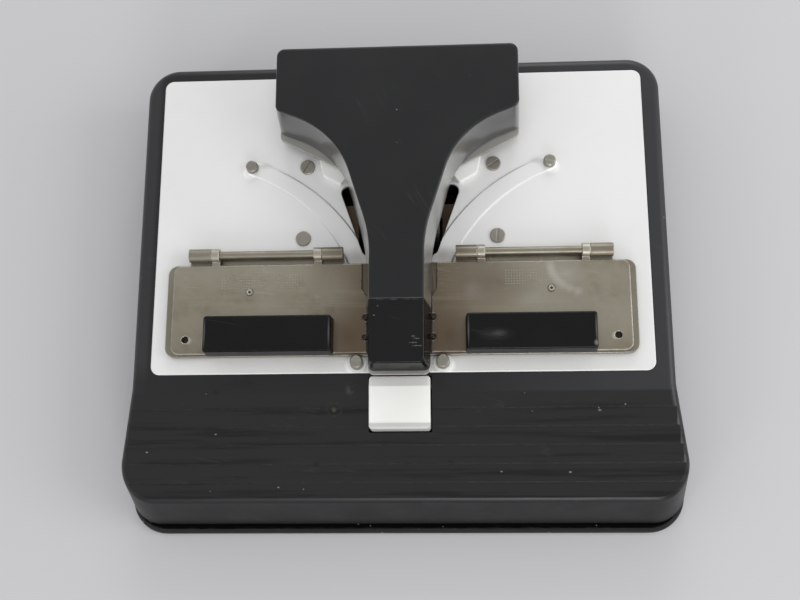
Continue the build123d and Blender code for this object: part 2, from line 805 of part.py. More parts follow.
# ---------------------------------------------------------------- press arm
def arm_face(z, inset):
    """The arm's outline at one height: a wide head that flows into a narrow arm."""
    down = (arm_top - z) / (arm_top - arm_foot)

    def moved(point, angle, spread):
        out = spread * down - inset
        turn = math.radians(angle)
        return (point[0] + out * math.cos(turn), point[1] + out * math.sin(turn))

    half = head_half + 0.6 * down - inset
    rear = head_rear + 0.7 * down - inset
    rise = head_front - neck_start[1]
    run_in = head_half - neck_start[0]
    flank = math.degrees(math.atan2(rise, run_in))
    start = moved(neck_start, flank - 90, neck_spreads[0])
    corner = (half, start[1] + (half - start[0]) * rise / run_in)
    waist = moved(neck_waist, -20, neck_spreads[1])
    foot = moved(neck_foot, -20, neck_spreads[2])
    straight = moved((arm_half, neck_straight), 0, neck_spreads[3])
    tip_x = arm_half + tip_spread * down - inset
    tip_y = arm_tip + inset
    lead = (start[0] - corner[0], start[1] - corner[1])
    run = (foot[0] - waist[0], foot[1] - waist[1])
    right = [Line((0, rear), (half, rear)), Line((half, rear), corner), Line(corner, start),
             TangentArc(start, waist, tangent=lead), Line(waist, foot),
             TangentArc(foot, straight, tangent=run), Line(straight, (tip_x, tip_y)),
             Line((tip_x, tip_y), (0, tip_y))]
    outline = Curve() + right
    outline += mirror(outline, about=Plane.YZ)
    return Pos(0, 0, z) * make_face(outline)


def arm_block(low, high, inset):
    solid = loft([arm_face(low, inset), arm_face(high, inset)], ruled=True)
    height = high - low
    tall = upright_edges(solid, height)
    head = [e for e in tall if abs(e.center().X) > head_half - inset - 2]
    solid = fillet(head, head_corner - min(inset, 2.0))
    tips = [e for e in upright_edges(solid, height) if e.center().Y < arm_tip + 1 + inset]
    tips = [e for e in tips if abs(e.center().X) > arm_half / 2]
    return fillet(tips, tip_corner - min(inset, 1.5))


def whole_arm_shell():
    outer = arm_block(arm_foot, arm_top, 0)
    outer = fillet(outer.faces().sort_by(Axis.Z)[-1].edges(), arm_edge_round)
    inner = arm_block(arm_foot, arm_top - arm_wall, arm_wall)
    skirt = block(-far, far, neck_straight, far, arm_foot - 1, arm_foot + skirt_gap)
    return outer - inner - skirt


def arm_screw_spots():
    rear = arm_axis_y - 12.0
    return [(24.0, rear), (-24.0, rear), (0.0, -24.0)]


def arm_cover(shell):
    cover = shell - block(-far, far, -far, tip_seam + seam_gap / 2, -far, far)
    for x, y in arm_screw_spots():
        cover += post(x, y, arm_foot, arm_top - arm_wall + 0.5, 3.2)
        cover -= post(x, y, arm_foot - 1, arm_foot + 9, 1.3)
    return cover


def arm_tip_cap(shell):
    cap = shell - block(-far, far, tip_seam - seam_gap / 2, far, -far, far)
    half = arm_half - 0.8
    wall = block(-half, half, tip_seam - 1.9, tip_seam - seam_gap / 2, arm_foot, arm_top - 1.0)
    return cap + wall


def plate_ear():
    ring = bar(plate_ear_x, plate_ear_x + 1.5, arm_axis_y, arm_axis_z, ear_radius)
    points = [(arm_axis_y - 12, arm_plate_low + 0.3), (arm_axis_y - 4, arm_plate_low + 0.3),
              (arm_axis_y, arm_axis_z - ear_radius), (arm_axis_y, arm_axis_z + ear_radius),
              (arm_axis_y - 5, arm_axis_z + ear_radius)]
    web = extrude(Plane.YZ * face_of(points), amount=1.5)
    ear = ring + Pos(plate_ear_x, 0, 0) * web
    return ear


def arm_plate():
    side = head_half + 0.4
    front = arm_tip - plate_overhang
    right = [(side, arm_axis_y - 4), (side, head_front - 5.3), (neck_waist[0] + 3.5, 17.4),
             (neck_foot[0] + 2.6, 0.0), (arm_half + 1.4, -14.0), (arm_half + 1.4, front)]
    points = right + [(-x, y) for x, y in reversed(right)]
    plate = slab(points, arm_plate_low, arm_foot)
    corners = [e for e in upright_edges(plate, arm_plate_thick)
               if abs(e.center().X) > 40 or e.center().Y < arm_tip]
    plate = fillet(corners, 2.0)
    plate += both_sides(plate_ear())
    hole = hinge_pin_radius + turn_gap
    plate -= bar(-far, far, arm_axis_y, arm_axis_z, hole)
    for x, y in arm_screw_spots():
        plate -= post(x, y, 0, 10, 1.5)
    return plate


def arm_cover_screws():
    screws = None
    for x, y in arm_screw_spots():
        head = post(x, y, arm_plate_low - 1.0, arm_plate_low, 2.6)
        slot = block(x - 4, x + 4, y - 0.4, y + 0.4, arm_plate_low - 2, arm_plate_low - 0.5)
        screw = head - slot + post(x, y, arm_plate_low, arm_foot + 8, 1.25)
        screws = screw if screws is None else screws + screw
    return screws


def pressure_shoe():
    shoe = block(-8, 8, film_line - 5.5, film_line + 5.5, carrier_top + 0.25, arm_plate_low)
    return chamfer(shoe.edges().group_by(Axis.Z)[0], 0.3)


def bracket_spots():
    return [(bracket_ear_x - 10.0, arm_axis_y - 6.0)]


def arm_hinge_bracket():
    half = bracket_ear_x + bracket_ear_thick + 4.5
    sheet = block(-half, half, arm_axis_y - 12, arm_axis_y + 1.5, 0, bracket_thick)
    sheet = fillet(upright_edges(sheet, bracket_thick), 2.0)
    x0, x1 = bracket_ear_x, bracket_ear_x + bracket_ear_thick
    ear = bar(x0, x1, arm_axis_y, arm_axis_z, ear_radius)
    ear += block(x0, x1, arm_axis_y - ear_radius, arm_axis_y + 1.5, 0, arm_axis_z)
    bracket = sheet + both_sides(ear)
    bracket -= bar(-far, far, arm_axis_y, arm_axis_z, hinge_pin_radius + seat_gap)
    for x, y in bracket_spots():
        bracket -= both_sides(post(x, y, -1, 5, 1.5))
    return bracket


def arm_hinge_pin():
    half = bracket_ear_x + bracket_ear_thick + 1.2
    pin = bar(-half, half, arm_axis_y, arm_axis_z, hinge_pin_radius)
    return chamfer(pin.edges(), 0.4)


def hinge_washers():
    x0 = (plate_ear_x + 1.5 + bracket_ear_x - washer_thick) / 2
    ring = bar(x0, x0 + washer_thick, arm_axis_y, arm_axis_z, 3.2)
    ring -= bar(x0 - 1, x0 + 1, arm_axis_y, arm_axis_z, hinge_pin_radius + seat_gap)
    return both_sides(ring)


def bracket_screws():
    x, y = bracket_spots()[0]
    return both_sides(slotted_screw(x, y, bracket_thick, 20, 2.6, 1.2, 5.0))


# ---------------------------------------------------------------- motor and wheels
def motor_bracket():
    """A channel under the window, hung from the deck by two flanges."""
    low = -channel_depth
    outer = channel_half + channel_thick
    top = -deck_thick
    web = block(channel_half, outer, channel_front, channel_rear, low, top)
    rear, front = screw_spots()
    side = rear[0] + flange_border
    flange = block(channel_half, side, min(channel_front - 1, front[1] - 4), channel_rear,
                   top - 1.5, top)
    tab = block(rear[0] - 6, side, channel_rear - 1, max(channel_rear, rear[1] + 4),
                top - 1.5, top)
    right = web + flange + tab
    right -= bar(channel_half - 1, outer + 1, motor_y, motor_z, bush_radius + seat_gap)
    for spot in (rear, front):
        right -= post(*spot, -10, 0, 1.45)
    right += block(wheel_inner + wheel_thick + shield_gap, channel_half, channel_front,
                   motor_y + shield_behind, shield_low, shield_low + channel_thick)
    floor = block(-outer, outer, channel_front, channel_rear, low, low + channel_thick)
    saddle = block(-motor_half + 1, motor_half - 1, motor_y - 8, motor_y + 8,
                   low + channel_thick, motor_z - 4)
    saddle -= bar(-far, far, motor_y, motor_z, motor_radius + seat_gap)
    return both_sides(right) + floor + saddle


def spindle_bushes():
    outer = channel_half + channel_thick
    bush = bar(channel_half - 0.5, outer + 0.5, motor_y, motor_z, bush_radius)
    bush += bar(outer, outer + 0.5, motor_y, motor_z, bush_flange)
    bush -= bar(0, far, motor_y, motor_z, spindle_radius + turn_gap)
    return both_sides(bush)


def motor_can():
    can = bar(-motor_half, motor_half - 2.4, motor_y, motor_z, motor_radius)
    can = fillet(can.edges().group_by(Axis.X)[0], 1.2)
    return can - bar(-far, far, motor_y, motor_z, spindle_radius + turn_gap)


def motor_end_cap():
    cap = bar(motor_half - 2.4, motor_half, motor_y, motor_z, motor_radius - 0.4)
    cap += bar(motor_half, motor_half + 1.0, motor_y, motor_z, 3.0)
    for side in (-1, 1):
        y = motor_y + side * 5.0
        cap += block(motor_half, motor_half + 1.4, y - 0.3, y + 0.3, motor_z - 1.5, motor_z + 1.5)
    return cap - bar(-far, far, motor_y, motor_z, spindle_radius + turn_gap)


def motor_spindle():
    half = channel_half + channel_thick + 2.5
    spindle = bar(-half, half, motor_y, motor_z, spindle_radius)
    return chamfer(spindle.edges(), 0.3)


def abrasive_wheel():
    """A steel-hubbed wheel: rim as wide as the wheel, thinner web."""
    wheel = bar(wheel_inner, wheel_inner + wheel_thick, motor_y, motor_z, wheel_radius)
    wheel = chamfer(wheel.edges(), 0.4)
    for x0, x1 in ((wheel_inner - 1, wheel_inner + 0.7),
                   (wheel_inner + wheel_thick - 0.7, wheel_inner + wheel_thick + 1)):
        groove = bar(x0, x1, motor_y, motor_z, wheel_radius - 3.5)
        groove -= bar(x0 - 1, x1 + 1, motor_y, motor_z, 4.0)
        wheel -= groove
    return wheel - bar(0, far, motor_y, motor_z, spindle_radius + seat_gap)


# ---------------------------------------------------------------- key and switch
def splice_key():
    """White rocker: sloping rear strip, flat face, rounded front lip."""
    profile = [(key_rear, -1.0), (key_rear, key_step), (key_rear - key_slope, key_top),
               (key_front + key_lip, key_top - key_fall),
               (key_front + key_nose / 3, key_top - key_nose / 2),
               (key_front, key_top - key_nose), (key_front, key_low), (key_rear - 0.6, key_low),
               (key_rear, key_low + 2.0)]
    key = side_cut(profile, key_half)
    folds = [e for e in key.edges().filter_by(Axis.X)
             if e.center().Z > key_low + 5 and e.center().Y < key_rear - 1]
    key = fillet(folds, key_fold_round)
    plan = RectangleRounded(2 * key_half, key_length, key_corner)
    key &= extrude(Pos(0, (key_rear + key_front) / 2, -20) * plan, amount=40)
    key = fillet(outline_edges([f for f in key.faces() if f.normal_at().Z > 0.3]),
                 key_edge_round)
    inner = [(key_rear - key_wall, key_low - 1.5), (key_rear - key_wall, -0.6),
             (key_rear - key_slope - 0.4, key_top - 2.0), (key_front + key_wall, key_top - 2.6),
             (key_front + key_wall, key_low - 1.5)]
    key -= side_cut(inner, key_half - key_wall)
    hub = bar(-key_half, key_half, key_axis_y, key_axis_z, 2.1)
    key += hub & block(-key_half, key_half, key_rear - 8, key_rear, -10, 5)
    key -= bar(-20, 20, key_axis_y, key_axis_z, key_pin_radius + turn_gap)
    boss = post(0, spring_y, spring_top, key_top - 2.0, 1.5)
    plunger = block(-6.5, -4.5, leaf_front + 0.8, leaf_front + 3.8, key_low - 0.5,
                    key_top - 2.2)
    return key + boss + plunger


def key_pivot_pin():
    half = key_half + key_gap + well_wall - 0.2
    return bar(-half, half, key_axis_y, key_axis_z, key_pin_radius)


def key_return_spring():
    wire = spring_wire
    low = well_floor + wire
    high = spring_top - wire
    path = Helix(pitch=(high - low) / 6, height=high - low, radius=spring_radius)
    coil = sweep(Plane(path @ 0, z_dir=path % 0) * Circle(wire), path=path, is_frenet=True)
    return Pos(0, spring_y, low) * coil


def switch_body():
    body = block(-9.5, -3.0, leaf_front + 6.5, leaf_front + 12.5, well_floor,
                 well_floor + switch_height)
    return chamfer(body.edges().group_by(Axis.Z)[-1], 0.5)


def switch_leaf():
    top = well_floor + switch_height
    return block(-7.0, -4.0, leaf_front, leaf_front + 11.5, top, top + 0.3)


# ---------------------------------------------------------------- writing the pieces
def write(name, piece):
    moved = place * piece
    export_step(moved, f"parts/{name}.step")
    print(name, len(moved.solids()), round(moved.volume, 1))


def main():
    os.makedirs("parts", exist_ok=True)
    shell = whole_arm_shell()
    single = [base_housing, base_tray, rubber_feet, tray_screws, battery_box, battery_cells,
              battery_contacts, battery_springs, battery_door, deck_plate, rear_stop_pins,
              front_stop_pins, pin_washers, deck_screws, splice_anvil, dust_guides,
              carrier_pivots, arm_plate, arm_cover_screws, pressure_shoe, arm_hinge_bracket,
              arm_hinge_pin, hinge_washers, bracket_screws, motor_bracket, spindle_bushes,
              motor_can, motor_end_cap, motor_spindle, splice_key, key_pivot_pin,
              key_return_spring, switch_body, switch_leaf]
    for make in single:
        write(make.__name__, make())
    write("arm_cover", arm_cover(shell))
    write("arm_tip_cap", arm_tip_cap(shell))
    paired = [carrier_plate, registration_pins, hinge_rod, clamp_plate, clamp_rivet, grip_pad,
              abrasive_wheel]
    for make in paired:
        right = make()
        write(make.__name__ + "_right", right)
        write(make.__name__ + "_left", other_side(right))


main()
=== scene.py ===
import json
import math
import bpy
from mathutils import Matrix, Vector


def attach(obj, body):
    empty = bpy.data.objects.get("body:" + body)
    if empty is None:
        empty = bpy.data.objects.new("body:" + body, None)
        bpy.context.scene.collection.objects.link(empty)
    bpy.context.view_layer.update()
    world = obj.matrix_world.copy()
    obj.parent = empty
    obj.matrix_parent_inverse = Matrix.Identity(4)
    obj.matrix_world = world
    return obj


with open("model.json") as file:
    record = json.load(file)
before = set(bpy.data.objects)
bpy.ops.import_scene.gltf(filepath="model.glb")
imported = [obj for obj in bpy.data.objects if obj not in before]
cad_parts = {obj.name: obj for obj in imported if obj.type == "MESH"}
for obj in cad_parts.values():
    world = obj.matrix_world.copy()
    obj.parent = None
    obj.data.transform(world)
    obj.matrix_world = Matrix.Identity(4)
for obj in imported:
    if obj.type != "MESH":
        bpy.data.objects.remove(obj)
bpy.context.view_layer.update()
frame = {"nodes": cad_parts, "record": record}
nodes = frame["nodes"]
print("stage: frame loaded,", len(nodes), "nodes")

scene = bpy.context.scene
scene.view_settings.view_transform = "Standard"
bpy.ops.object.select_all(action="DESELECT")

# the part's drawing frame: centre of the deck's top face, in metres
deckCentre = Vector((0.0, 0.0243, 0.034))


def atDeck(x, y, z):  # deck frame in mm to the shared frame in metres
    return Vector((x, y, z)) / 1000 + deckCentre


# camera, as the photograph was taken; angles in degrees, lens in mm, target in deck mm
cameraValues = {"azimuth": 13.88, "elevation": 75.91, "roll": -14.29, "distance": 0.3935,
                "lens": 49.15, "sensor": 36.0, "nearest": 0.01, "target": (0.0, -30.5, 0.0)}


def addCamera(values):
    azimuth = math.radians(values["azimuth"])
    elevation = math.radians(values["elevation"])
    roll = math.radians(values["roll"])
    back = Vector((math.sin(azimuth) * math.cos(elevation),
                   -math.cos(azimuth) * math.cos(elevation), math.sin(elevation)))
    right = (-back).cross(Vector((0, 0, 1))).normalized()
    up = right.cross(-back)
    across = right * math.cos(roll) + up * math.sin(roll)
    upward = up * math.cos(roll) - right * math.sin(roll)
    place = atDeck(*values["target"]) + back * values["distance"]
    data = bpy.data.cameras.new("photoCamera")
    data.lens = values["lens"]
    data.sensor_width = values["sensor"]
    data.clip_start = values["nearest"]
    camera = bpy.data.objects.new("photoCamera", data)
    scene.collection.objects.link(camera)
    turn = Matrix((across, upward, back)).transposed().to_4x4()
    camera.matrix_world = Matrix.Translation(place) @ turn
    scene.camera = camera


addCamera(cameraValues)

# floor and world
roomValues = {"floorColour": (0.535, 0.535, 0.545), "floorRoughness": 0.7, "floorSize": 12.0,
              "worldColour": (0.985, 0.99, 1.0), "worldStrength": 0.72}


def addRoom(values):
    bpy.ops.mesh.primitive_plane_add(size=values["floorSize"], location=(0, 0, 0))
    floor = bpy.context.object
    floor.name = "floor"
    material = bpy.data.materials.new("paleFloor")
    material.use_nodes = True
    shader = material.node_tree.nodes["Principled BSDF"]
    shader.inputs["Base Color"].default_value = (*values["floorColour"], 1)
    shader.inputs["Roughness"].default_value = values["floorRoughness"]
    floor.data.materials.append(material)
    world = bpy.data.worlds.new("softRoom")
    scene.world = world
    world.use_nodes = True
    background = world.node_tree.nodes["Background"]
    background.inputs["Color"].default_value = (*values["worldColour"], 1)
    background.inputs["Strength"].default_value = values["worldStrength"]


# square lamps, all aimed at one point; places and sizes in metres, power in watts
lampAim = (0.0, 0.0, 0.03)
lampValues = {
    "rightLamp": {"place": (1.2, -0.10, 0.75), "size": 0.8, "power": 6.5},
    "frontLamp": {"place": (0.2, -1.25, 0.62), "size": 0.55, "power": 5.0},
    "rearLamp": {"place": (0.1, 1.3, 0.70), "size": 0.8, "power": 5.0},
    "leftFrontLamp": {"place": (-0.75, -0.80, 0.62), "size": 0.25, "power": 1.0}}


def addLamp(name, values):
    data = bpy.data.lights.new(name, "AREA")
    data.shape = "SQUARE"
    data.size = values["size"]
    data.energy = values["power"]
    lamp = bpy.data.objects.new(name, data)
    scene.collection.objects.link(lamp)
    lamp.location = values["place"]
    toward = Vector(lampAim) - Vector(values["place"])
    lamp.rotation_euler = toward.to_track_quat("-Z", "Y").to_euler()


addRoom(roomValues)
for lampName, oneLamp in lampValues.items():
    addLamp(lampName, oneLamp)
print("stage: camera, floor and lamps")


# shader node helpers
def addNode(tree, kind, **settings):
    node = tree.nodes.new(kind)
    for key, value in settings.items():
        setattr(node, key, value)
    return node


def setInputs(node, **values):
    for key, value in values.items():
        node.inputs[key].default_value = value
    return node


def mathNode(tree, operation, first, second=None, third=None, clamp=False):
    node = addNode(tree, "ShaderNodeMath", operation=operation, use_clamp=clamp)
    for slot, value in enumerate((first, second, third)):
        if value is None:
            continue
        if isinstance(value, (int, float)):
            node.inputs[slot].default_value = value
        else:
            tree.links.new(value, node.inputs[slot])
    return node.outputs[0]


# a smooth step from newLow to newHigh while the value runs from low to high
def rangeNode(tree, value, low, high, newLow=0.0, newHigh=1.0):
    node = addNode(tree, "ShaderNodeMapRange", interpolation_type="SMOOTHSTEP")
    for slot, limit in enumerate((low, high, newLow, newHigh)):
        node.inputs[slot + 1].default_value = limit
    tree.links.new(value, node.inputs[0])
    return node.outputs[0]


def mixColour(tree, amount, first, second):
    node = addNode(tree, "ShaderNodeMix", data_type="RGBA")
    tree.links.new(amount, node.inputs[0])
    for slot, colour in ((6, first), (7, second)):  # the colour sockets of a Mix node
        if isinstance(colour, tuple):
            node.inputs[slot].default_value = (*colour, 1)
        else:
            tree.links.new(colour, node.inputs[slot])
    return node.outputs[2]


def layOver(tree, colour, mask, share, over):  # a second colour, by a share of the mask
    return mixColour(tree, mathNode(tree, "MULTIPLY", mask, share), colour, over)


# inputs are given with their values, and a value of None makes a vector
def newGroup(name, inputs, outputs):
    group = bpy.data.node_groups.new(name, "ShaderNodeTree")
    for label, value in inputs.items():
        kind = "NodeSocketFloat" if isinstance(value, float) else "NodeSocketVector"
        socket = group.interface.new_socket(name=label, in_out="INPUT", socket_type=kind)
        if value is not None:
            socket.default_value = value
    for label in outputs:
        kind = "NodeSocketVector" if label == "Normal" else "NodeSocketFloat"
        group.interface.new_socket(name=label, in_out="OUTPUT", socket_type=kind)
    entry = group.nodes.new("NodeGroupInput")
    leave = group.nodes.new("NodeGroupOutput")
    return group, entry, leave


# Where each noise is cut: it shows nothing below the first value and all of itself above the
# second.
noiseCuts = {"patch": (0.35, 0.70), "metalPatch": (0.35, 0.68), "stain": (0.52, 0.72),
             "roughness": (0.30, 0.70), "scratch": (0.54, 0.64), "edgeWearAndSheen": (0.10, 0.40),
             "streak": (0.46, 0.62), "mark": (0.42, 0.58)}


# raised points and hollows of a moulded or blasted surface
def makeMouldedGrain():
    group, entry, leave = newGroup("mouldedGrain", {"Vector": None, "Scale": 2500.0}, ["Height"])
    fine = addNode(group, "ShaderNodeTexNoise")
    setInputs(fine, Detail=3.0, Roughness=0.6)
    group.links.new(entry.outputs["Vector"], fine.inputs["Vector"])
    group.links.new(entry.outputs["Scale"], fine.inputs["Scale"])
    broad = addNode(group, "ShaderNodeTexNoise")
    setInputs(broad, Detail=2.0, Roughness=0.5)
    group.links.new(entry.outputs["Vector"], broad.inputs["Vector"])
    broadScale = mathNode(group, "MULTIPLY", entry.outputs["Scale"], 0.12)
    group.links.new(broadScale, broad.inputs["Scale"])
    height = mathNode(group, "MULTIPLY_ADD", broad.outputs[0], 0.5, fine.outputs[0])
    group.links.new(height, leave.inputs["Height"])
    return group


# thin scratches: stretched noise cut to a narrow band, broken up along its length
def makeScratches():
    group, entry, leave = newGroup(
        "fineScratches", {"Vector": None, "Turn": 0.0, "Scale": 300.0, "Width": 0.02}, ["Mask"])
    turned = addNode(group, "ShaderNodeVectorRotate", rotation_type="Z_AXIS")
    group.links.new(entry.outputs["Vector"], turned.inputs["Vector"])
    group.links.new(entry.outputs["Turn"], turned.inputs["Angle"])
    stretched = addNode(group, "ShaderNodeMapping")
    stretched.inputs["Scale"].default_value = (0.06, 1.0, 1.0)  # long along X
    group.links.new(turned.outputs[0], stretched.inputs["Vector"])
    lines = addNode(group, "ShaderNodeTexNoise")
    setInputs(lines, Detail=1.5, Roughness=0.4)
    group.links.new(stretched.outputs[0], lines.inputs["Vector"])
    group.links.new(entry.outputs["Scale"], lines.inputs["Scale"])
    away = mathNode(group, "ABSOLUTE", mathNode(group, "SUBTRACT", lines.outputs[0], 0.5))
    thin = mathNode(group, "SUBTRACT", 1.0,
                    mathNode(group, "DIVIDE", away, entry.outputs["Width"]), clamp=True)
    breaks = addNode(group, "ShaderNodeTexNoise")
    setInputs(breaks, Scale=70.0, Detail=2.0)
    group.links.new(entry.outputs["Vector"], breaks.inputs["Vector"])
    kept = rangeNode(group, breaks.outputs[0], *noiseCuts["scratch"])
    group.links.new(mathNode(group, "MULTIPLY", thin, kept), leave.inputs["Mask"])
    return group


# 1 where the surface faces up, 0 on the walls
def makeUpFacing():
    group, entry, leave = newGroup("upFacing", {"Low": 0.35, "High": 0.75}, ["Mask"])
    facing = addNode(group, "ShaderNodeSeparateXYZ")
    group.links.new(addNode(group, "ShaderNodeTexCoord").outputs["Normal"], facing.inputs[0])
    span = addNode(group, "ShaderNodeMapRange", interpolation_type="SMOOTHSTEP")
    group.links.new(facing.outputs[2], span.inputs[0])
    group.links.new(entry.outputs["Low"], span.inputs[1])
    group.links.new(entry.outputs["High"], span.inputs[2])
    group.links.new(span.outputs[0], leave.inputs["Mask"])
    return group


upFacing = makeUpFacing()


def upMask(tree):
    return addNode(tree, "ShaderNodeGroup", node_tree=upFacing).outputs[0]


# scattered round specks on the faces that face up
def makeSpecks():
    group, entry, leave = newGroup(
        "dustSpecks", {"Vector": None, "Scale": 160.0, "Share": 0.15, "Size": 0.05}, ["Mask"])
    cells = addNode(group, "ShaderNodeTexVoronoi", feature="F1", voronoi_dimensions="2D")
    group.links.new(entry.outputs["Vector"], cells.inputs["Vector"])
    group.links.new(entry.outputs["Scale"], cells.inputs["Scale"])
    parts = addNode(group, "ShaderNodeSeparateColor")
    group.links.new(cells.outputs["Color"], parts.inputs[0])
    chosen = mathNode(group, "LESS_THAN", parts.outputs[0], entry.outputs["Share"])
    radius = mathNode(group, "MULTIPLY", entry.outputs["Size"],
                      mathNode(group, "ADD", parts.outputs[1], 0.3))  # 0.3 to 1.3 of the size
    inside = mathNode(group, "SUBTRACT", 1.0,
                      mathNode(group, "DIVIDE", cells.outputs["Distance"], radius), clamp=True)
    seen = mathNode(group, "MULTIPLY", chosen, upMask(group))
    group.links.new(mathNode(group, "MULTIPLY", seen, mathNode(group, "POWER", inside, 0.5)),
                    leave.inputs["Mask"])
    return group


# where the surface turns sharply: the normal rounded over a small radius leaves the true one
def makeEdgeWearAndSheenGroup():
    group, entry, leave = newGroup(
        "edgeWearAndSheenGroup", {"Vector": None, "Radius": 0.0006, "Breaks": 0.5}, ["Mask", "Normal"])
    rounded = addNode(group, "ShaderNodeBevel", samples=4)
    group.links.new(entry.outputs["Radius"], rounded.inputs["Radius"])
    geometry = addNode(group, "ShaderNodeNewGeometry")
    dot = addNode(group, "ShaderNodeVectorMath", operation="DOT_PRODUCT")
    group.links.new(rounded.outputs[0], dot.inputs[0])
    group.links.new(geometry.outputs["Normal"], dot.inputs[1])
    turned = mathNode(group, "SUBTRACT", 1.0, dot.outputs["Value"])
    edge = rangeNode(group, turned, 0.01, 0.12)  # from a slight turn to a sharp one
    patchy = addNode(group, "ShaderNodeTexNoise")
    setInputs(patchy, Scale=450.0, Detail=4.0, Roughness=0.65)
    group.links.new(entry.outputs["Vector"], patchy.inputs["Vector"])
    broken = mathNode(group, "SUBTRACT", patchy.outputs[0],
                      mathNode(group, "MULTIPLY", entry.outputs["Breaks"], 0.5))
    kept = rangeNode(group, broken, *noiseCuts["edgeWearAndSheen"])
    group.links.new(mathNode(group, "MULTIPLY", edge, kept), leave.inputs["Mask"])
    group.links.new(rounded.outputs[0], leave.inputs["Normal"])
    return group


# soft round spot about one place; its middle and size come from the material
def makeSpot():
    group, entry, leave = newGroup(
        "roundSpot", {"Vector": None, "Middle": None, "Stretch": (1.0, 1.0, 1.0),
                      "Radius": 0.002, "Soft": 0.5}, ["Mask"])
    moved = addNode(group, "ShaderNodeVectorMath", operation="SUBTRACT")
    group.links.new(entry.outputs["Vector"], moved.inputs[0])
    group.links.new(entry.outputs["Middle"], moved.inputs[1])
    scaled = addNode(group, "ShaderNodeVectorMath", operation="MULTIPLY")
    group.links.new(moved.outputs[0], scaled.inputs[0])
    group.links.new(entry.outputs["Stretch"], scaled.inputs[1])
    length = addNode(group, "ShaderNodeVectorMath", operation="LENGTH")
    group.links.new(scaled.outputs[0], length.inputs[0])
    share = mathNode(group, "DIVIDE", length.outputs["Value"], entry.outputs["Radius"])
    inside = mathNode(group, "DIVIDE", mathNode(group, "SUBTRACT", 1.0, share),
                      entry.outputs["Soft"], clamp=True)
    group.links.new(inside, leave.inputs["Mask"])
    return group


mouldedGrain = makeMouldedGrain()
fineScratches = makeScratches()
dustSpecks = makeSpecks()
edgeWearAndSheenGroup = makeEdgeWearAndSheenGroup()
roundSpot = makeSpot()


def placeGroup(tree, group, point, **values):
    node = addNode(tree, "ShaderNodeGroup", node_tree=group)
    tree.links.new(point, node.inputs["Vector"])
    return setInputs(node, **values)


def startMaterial(name):
    material = bpy.data.materials.new(name)
    material.use_nodes = True
    tree = material.node_tree
    shader = tree.nodes["Principled BSDF"]
    point = addNode(tree, "ShaderNodeTexCoord").outputs["Object"]
    return material, tree, shader, point


def bumpNode(tree, height, distance, strength, normal):
    bump = addNode(tree, "ShaderNodeBump")
    setInputs(bump, Strength=strength, Distance=distance)
    tree.links.new(height, bump.inputs["Height"])
    tree.links.new(normal, bump.inputs["Normal"])
    return bump.outputs[0]


def noiseNode(tree, point, scale, detail, roughness=0.55, stretch=None):
    if stretch is not None:
        mapping = addNode(tree, "ShaderNodeMapping")
        mapping.inputs["Scale"].default_value = stretch
        tree.links.new(point, mapping.inputs["Vector"])
        point = mapping.outputs[0]
    noise = addNode(tree, "ShaderNodeTexNoise")
    setInputs(noise, Scale=scale, Detail=detail, Roughness=roughness)
    tree.links.new(point, noise.inputs["Vector"])
    return noise.outputs[0]


# Zones colour the part by its place. The mask of a zone rises between two places on one axis,
# in metres of the shared frame, and falls again between the two of "until". "uneven" shifts it
# by noise, "facing" keeps it to the faces that face up or to the walls, "streak" breaks it into
# lines along X, and "dull" takes that share of the coat away.
streakStretch = (0.04, 1.0, 0.4)


def addZones(tree, point, colour, zones):
    split = addNode(tree, "ShaderNodeSeparateXYZ")
    tree.links.new(point, split.inputs[0])
    dull = None
    for zone in zones:
        along = split.outputs["XYZ".index(zone["axis"])]
        if zone.get("bothSides"):
            along = mathNode(tree, "ABSOLUTE", along)
        if "uneven" in zone:
            noise = noiseNode(tree, point, zone["unevenScale"], detail=4.0)
            along = mathNode(tree, "MULTIPLY_ADD", noise, zone["uneven"], along)
        mask = rangeNode(tree, along, zone["from"], zone["to"])
        if "until" in zone:
            beyond = rangeNode(tree, along, zone["until"][0], zone["until"][1], 1.0, 0.0)
            mask = mathNode(tree, "MULTIPLY", mask, beyond)
        if "facing" in zone:
            side = upMask(tree)
            if zone["facing"] == "wall":
                side = mathNode(tree, "SUBTRACT", 1.0, side)
            mask = mathNode(tree, "MULTIPLY", mask, side)
        if "streak" in zone:
            lines = noiseNode(tree, point, zone["streak"], detail=4.0, roughness=0.6,
                              stretch=streakStretch)
            lines = rangeNode(tree, lines, *noiseCuts["streak"])
            mask = mathNode(tree, "MULTIPLY", mask, lines)
        colour = layOver(tree, colour, mask, zone["amount"], zone["colour"])
        if "dull" in zone:
            share = mathNode(tree, "MULTIPLY", mask, zone["dull"])
            dull = share if dull is None else mathNode(tree, "MAXIMUM", dull, share)
    return colour, dull


# Marks are single spots. The middle is in deck mm and the radius in metres. "soft" is the share
# of the radius over which a spot fades, "hollow" the radius of a hole that makes it a ring, and
# "broken" breaks it up. A stretch of 0.1 in Z lets a spot reach the faces above and below.
markDefaults = {"soft": 0.6, "hollowSoft": 0.3, "stretch": (1.0, 1.0, 1.0),
                "brokenScale": 700.0}


def spotMask(tree, point, mark, radius, soft):
    spot = placeGroup(tree, roundSpot, point, Radius=radius, Soft=soft,
                      Middle=atDeck(*mark["middle"]), Stretch=mark["stretch"])
    return spot.outputs["Mask"]


def addMarks(tree, point, colour, marks):
    for mark in marks:
        mark = dict(markDefaults, **mark)
        mask = spotMask(tree, point, mark, mark["radius"], mark["soft"])
        if "hollow" in mark:
            inner = spotMask(tree, point, mark, mark["hollow"], mark["hollowSoft"])
            mask = mathNode(tree, "SUBTRACT", mask, inner, clamp=True)
        if mark.get("broken"):
            patchy = noiseNode(tree, point, mark["brokenScale"], detail=4.0, roughness=0.65)
            patchy = rangeNode(tree, patchy, *noiseCuts["mark"])
            mask = mathNode(tree, "MULTIPLY", mask, patchy)
        colour = layOver(tree, colour, mask, mark["amount"], mark["colour"])
    return colour
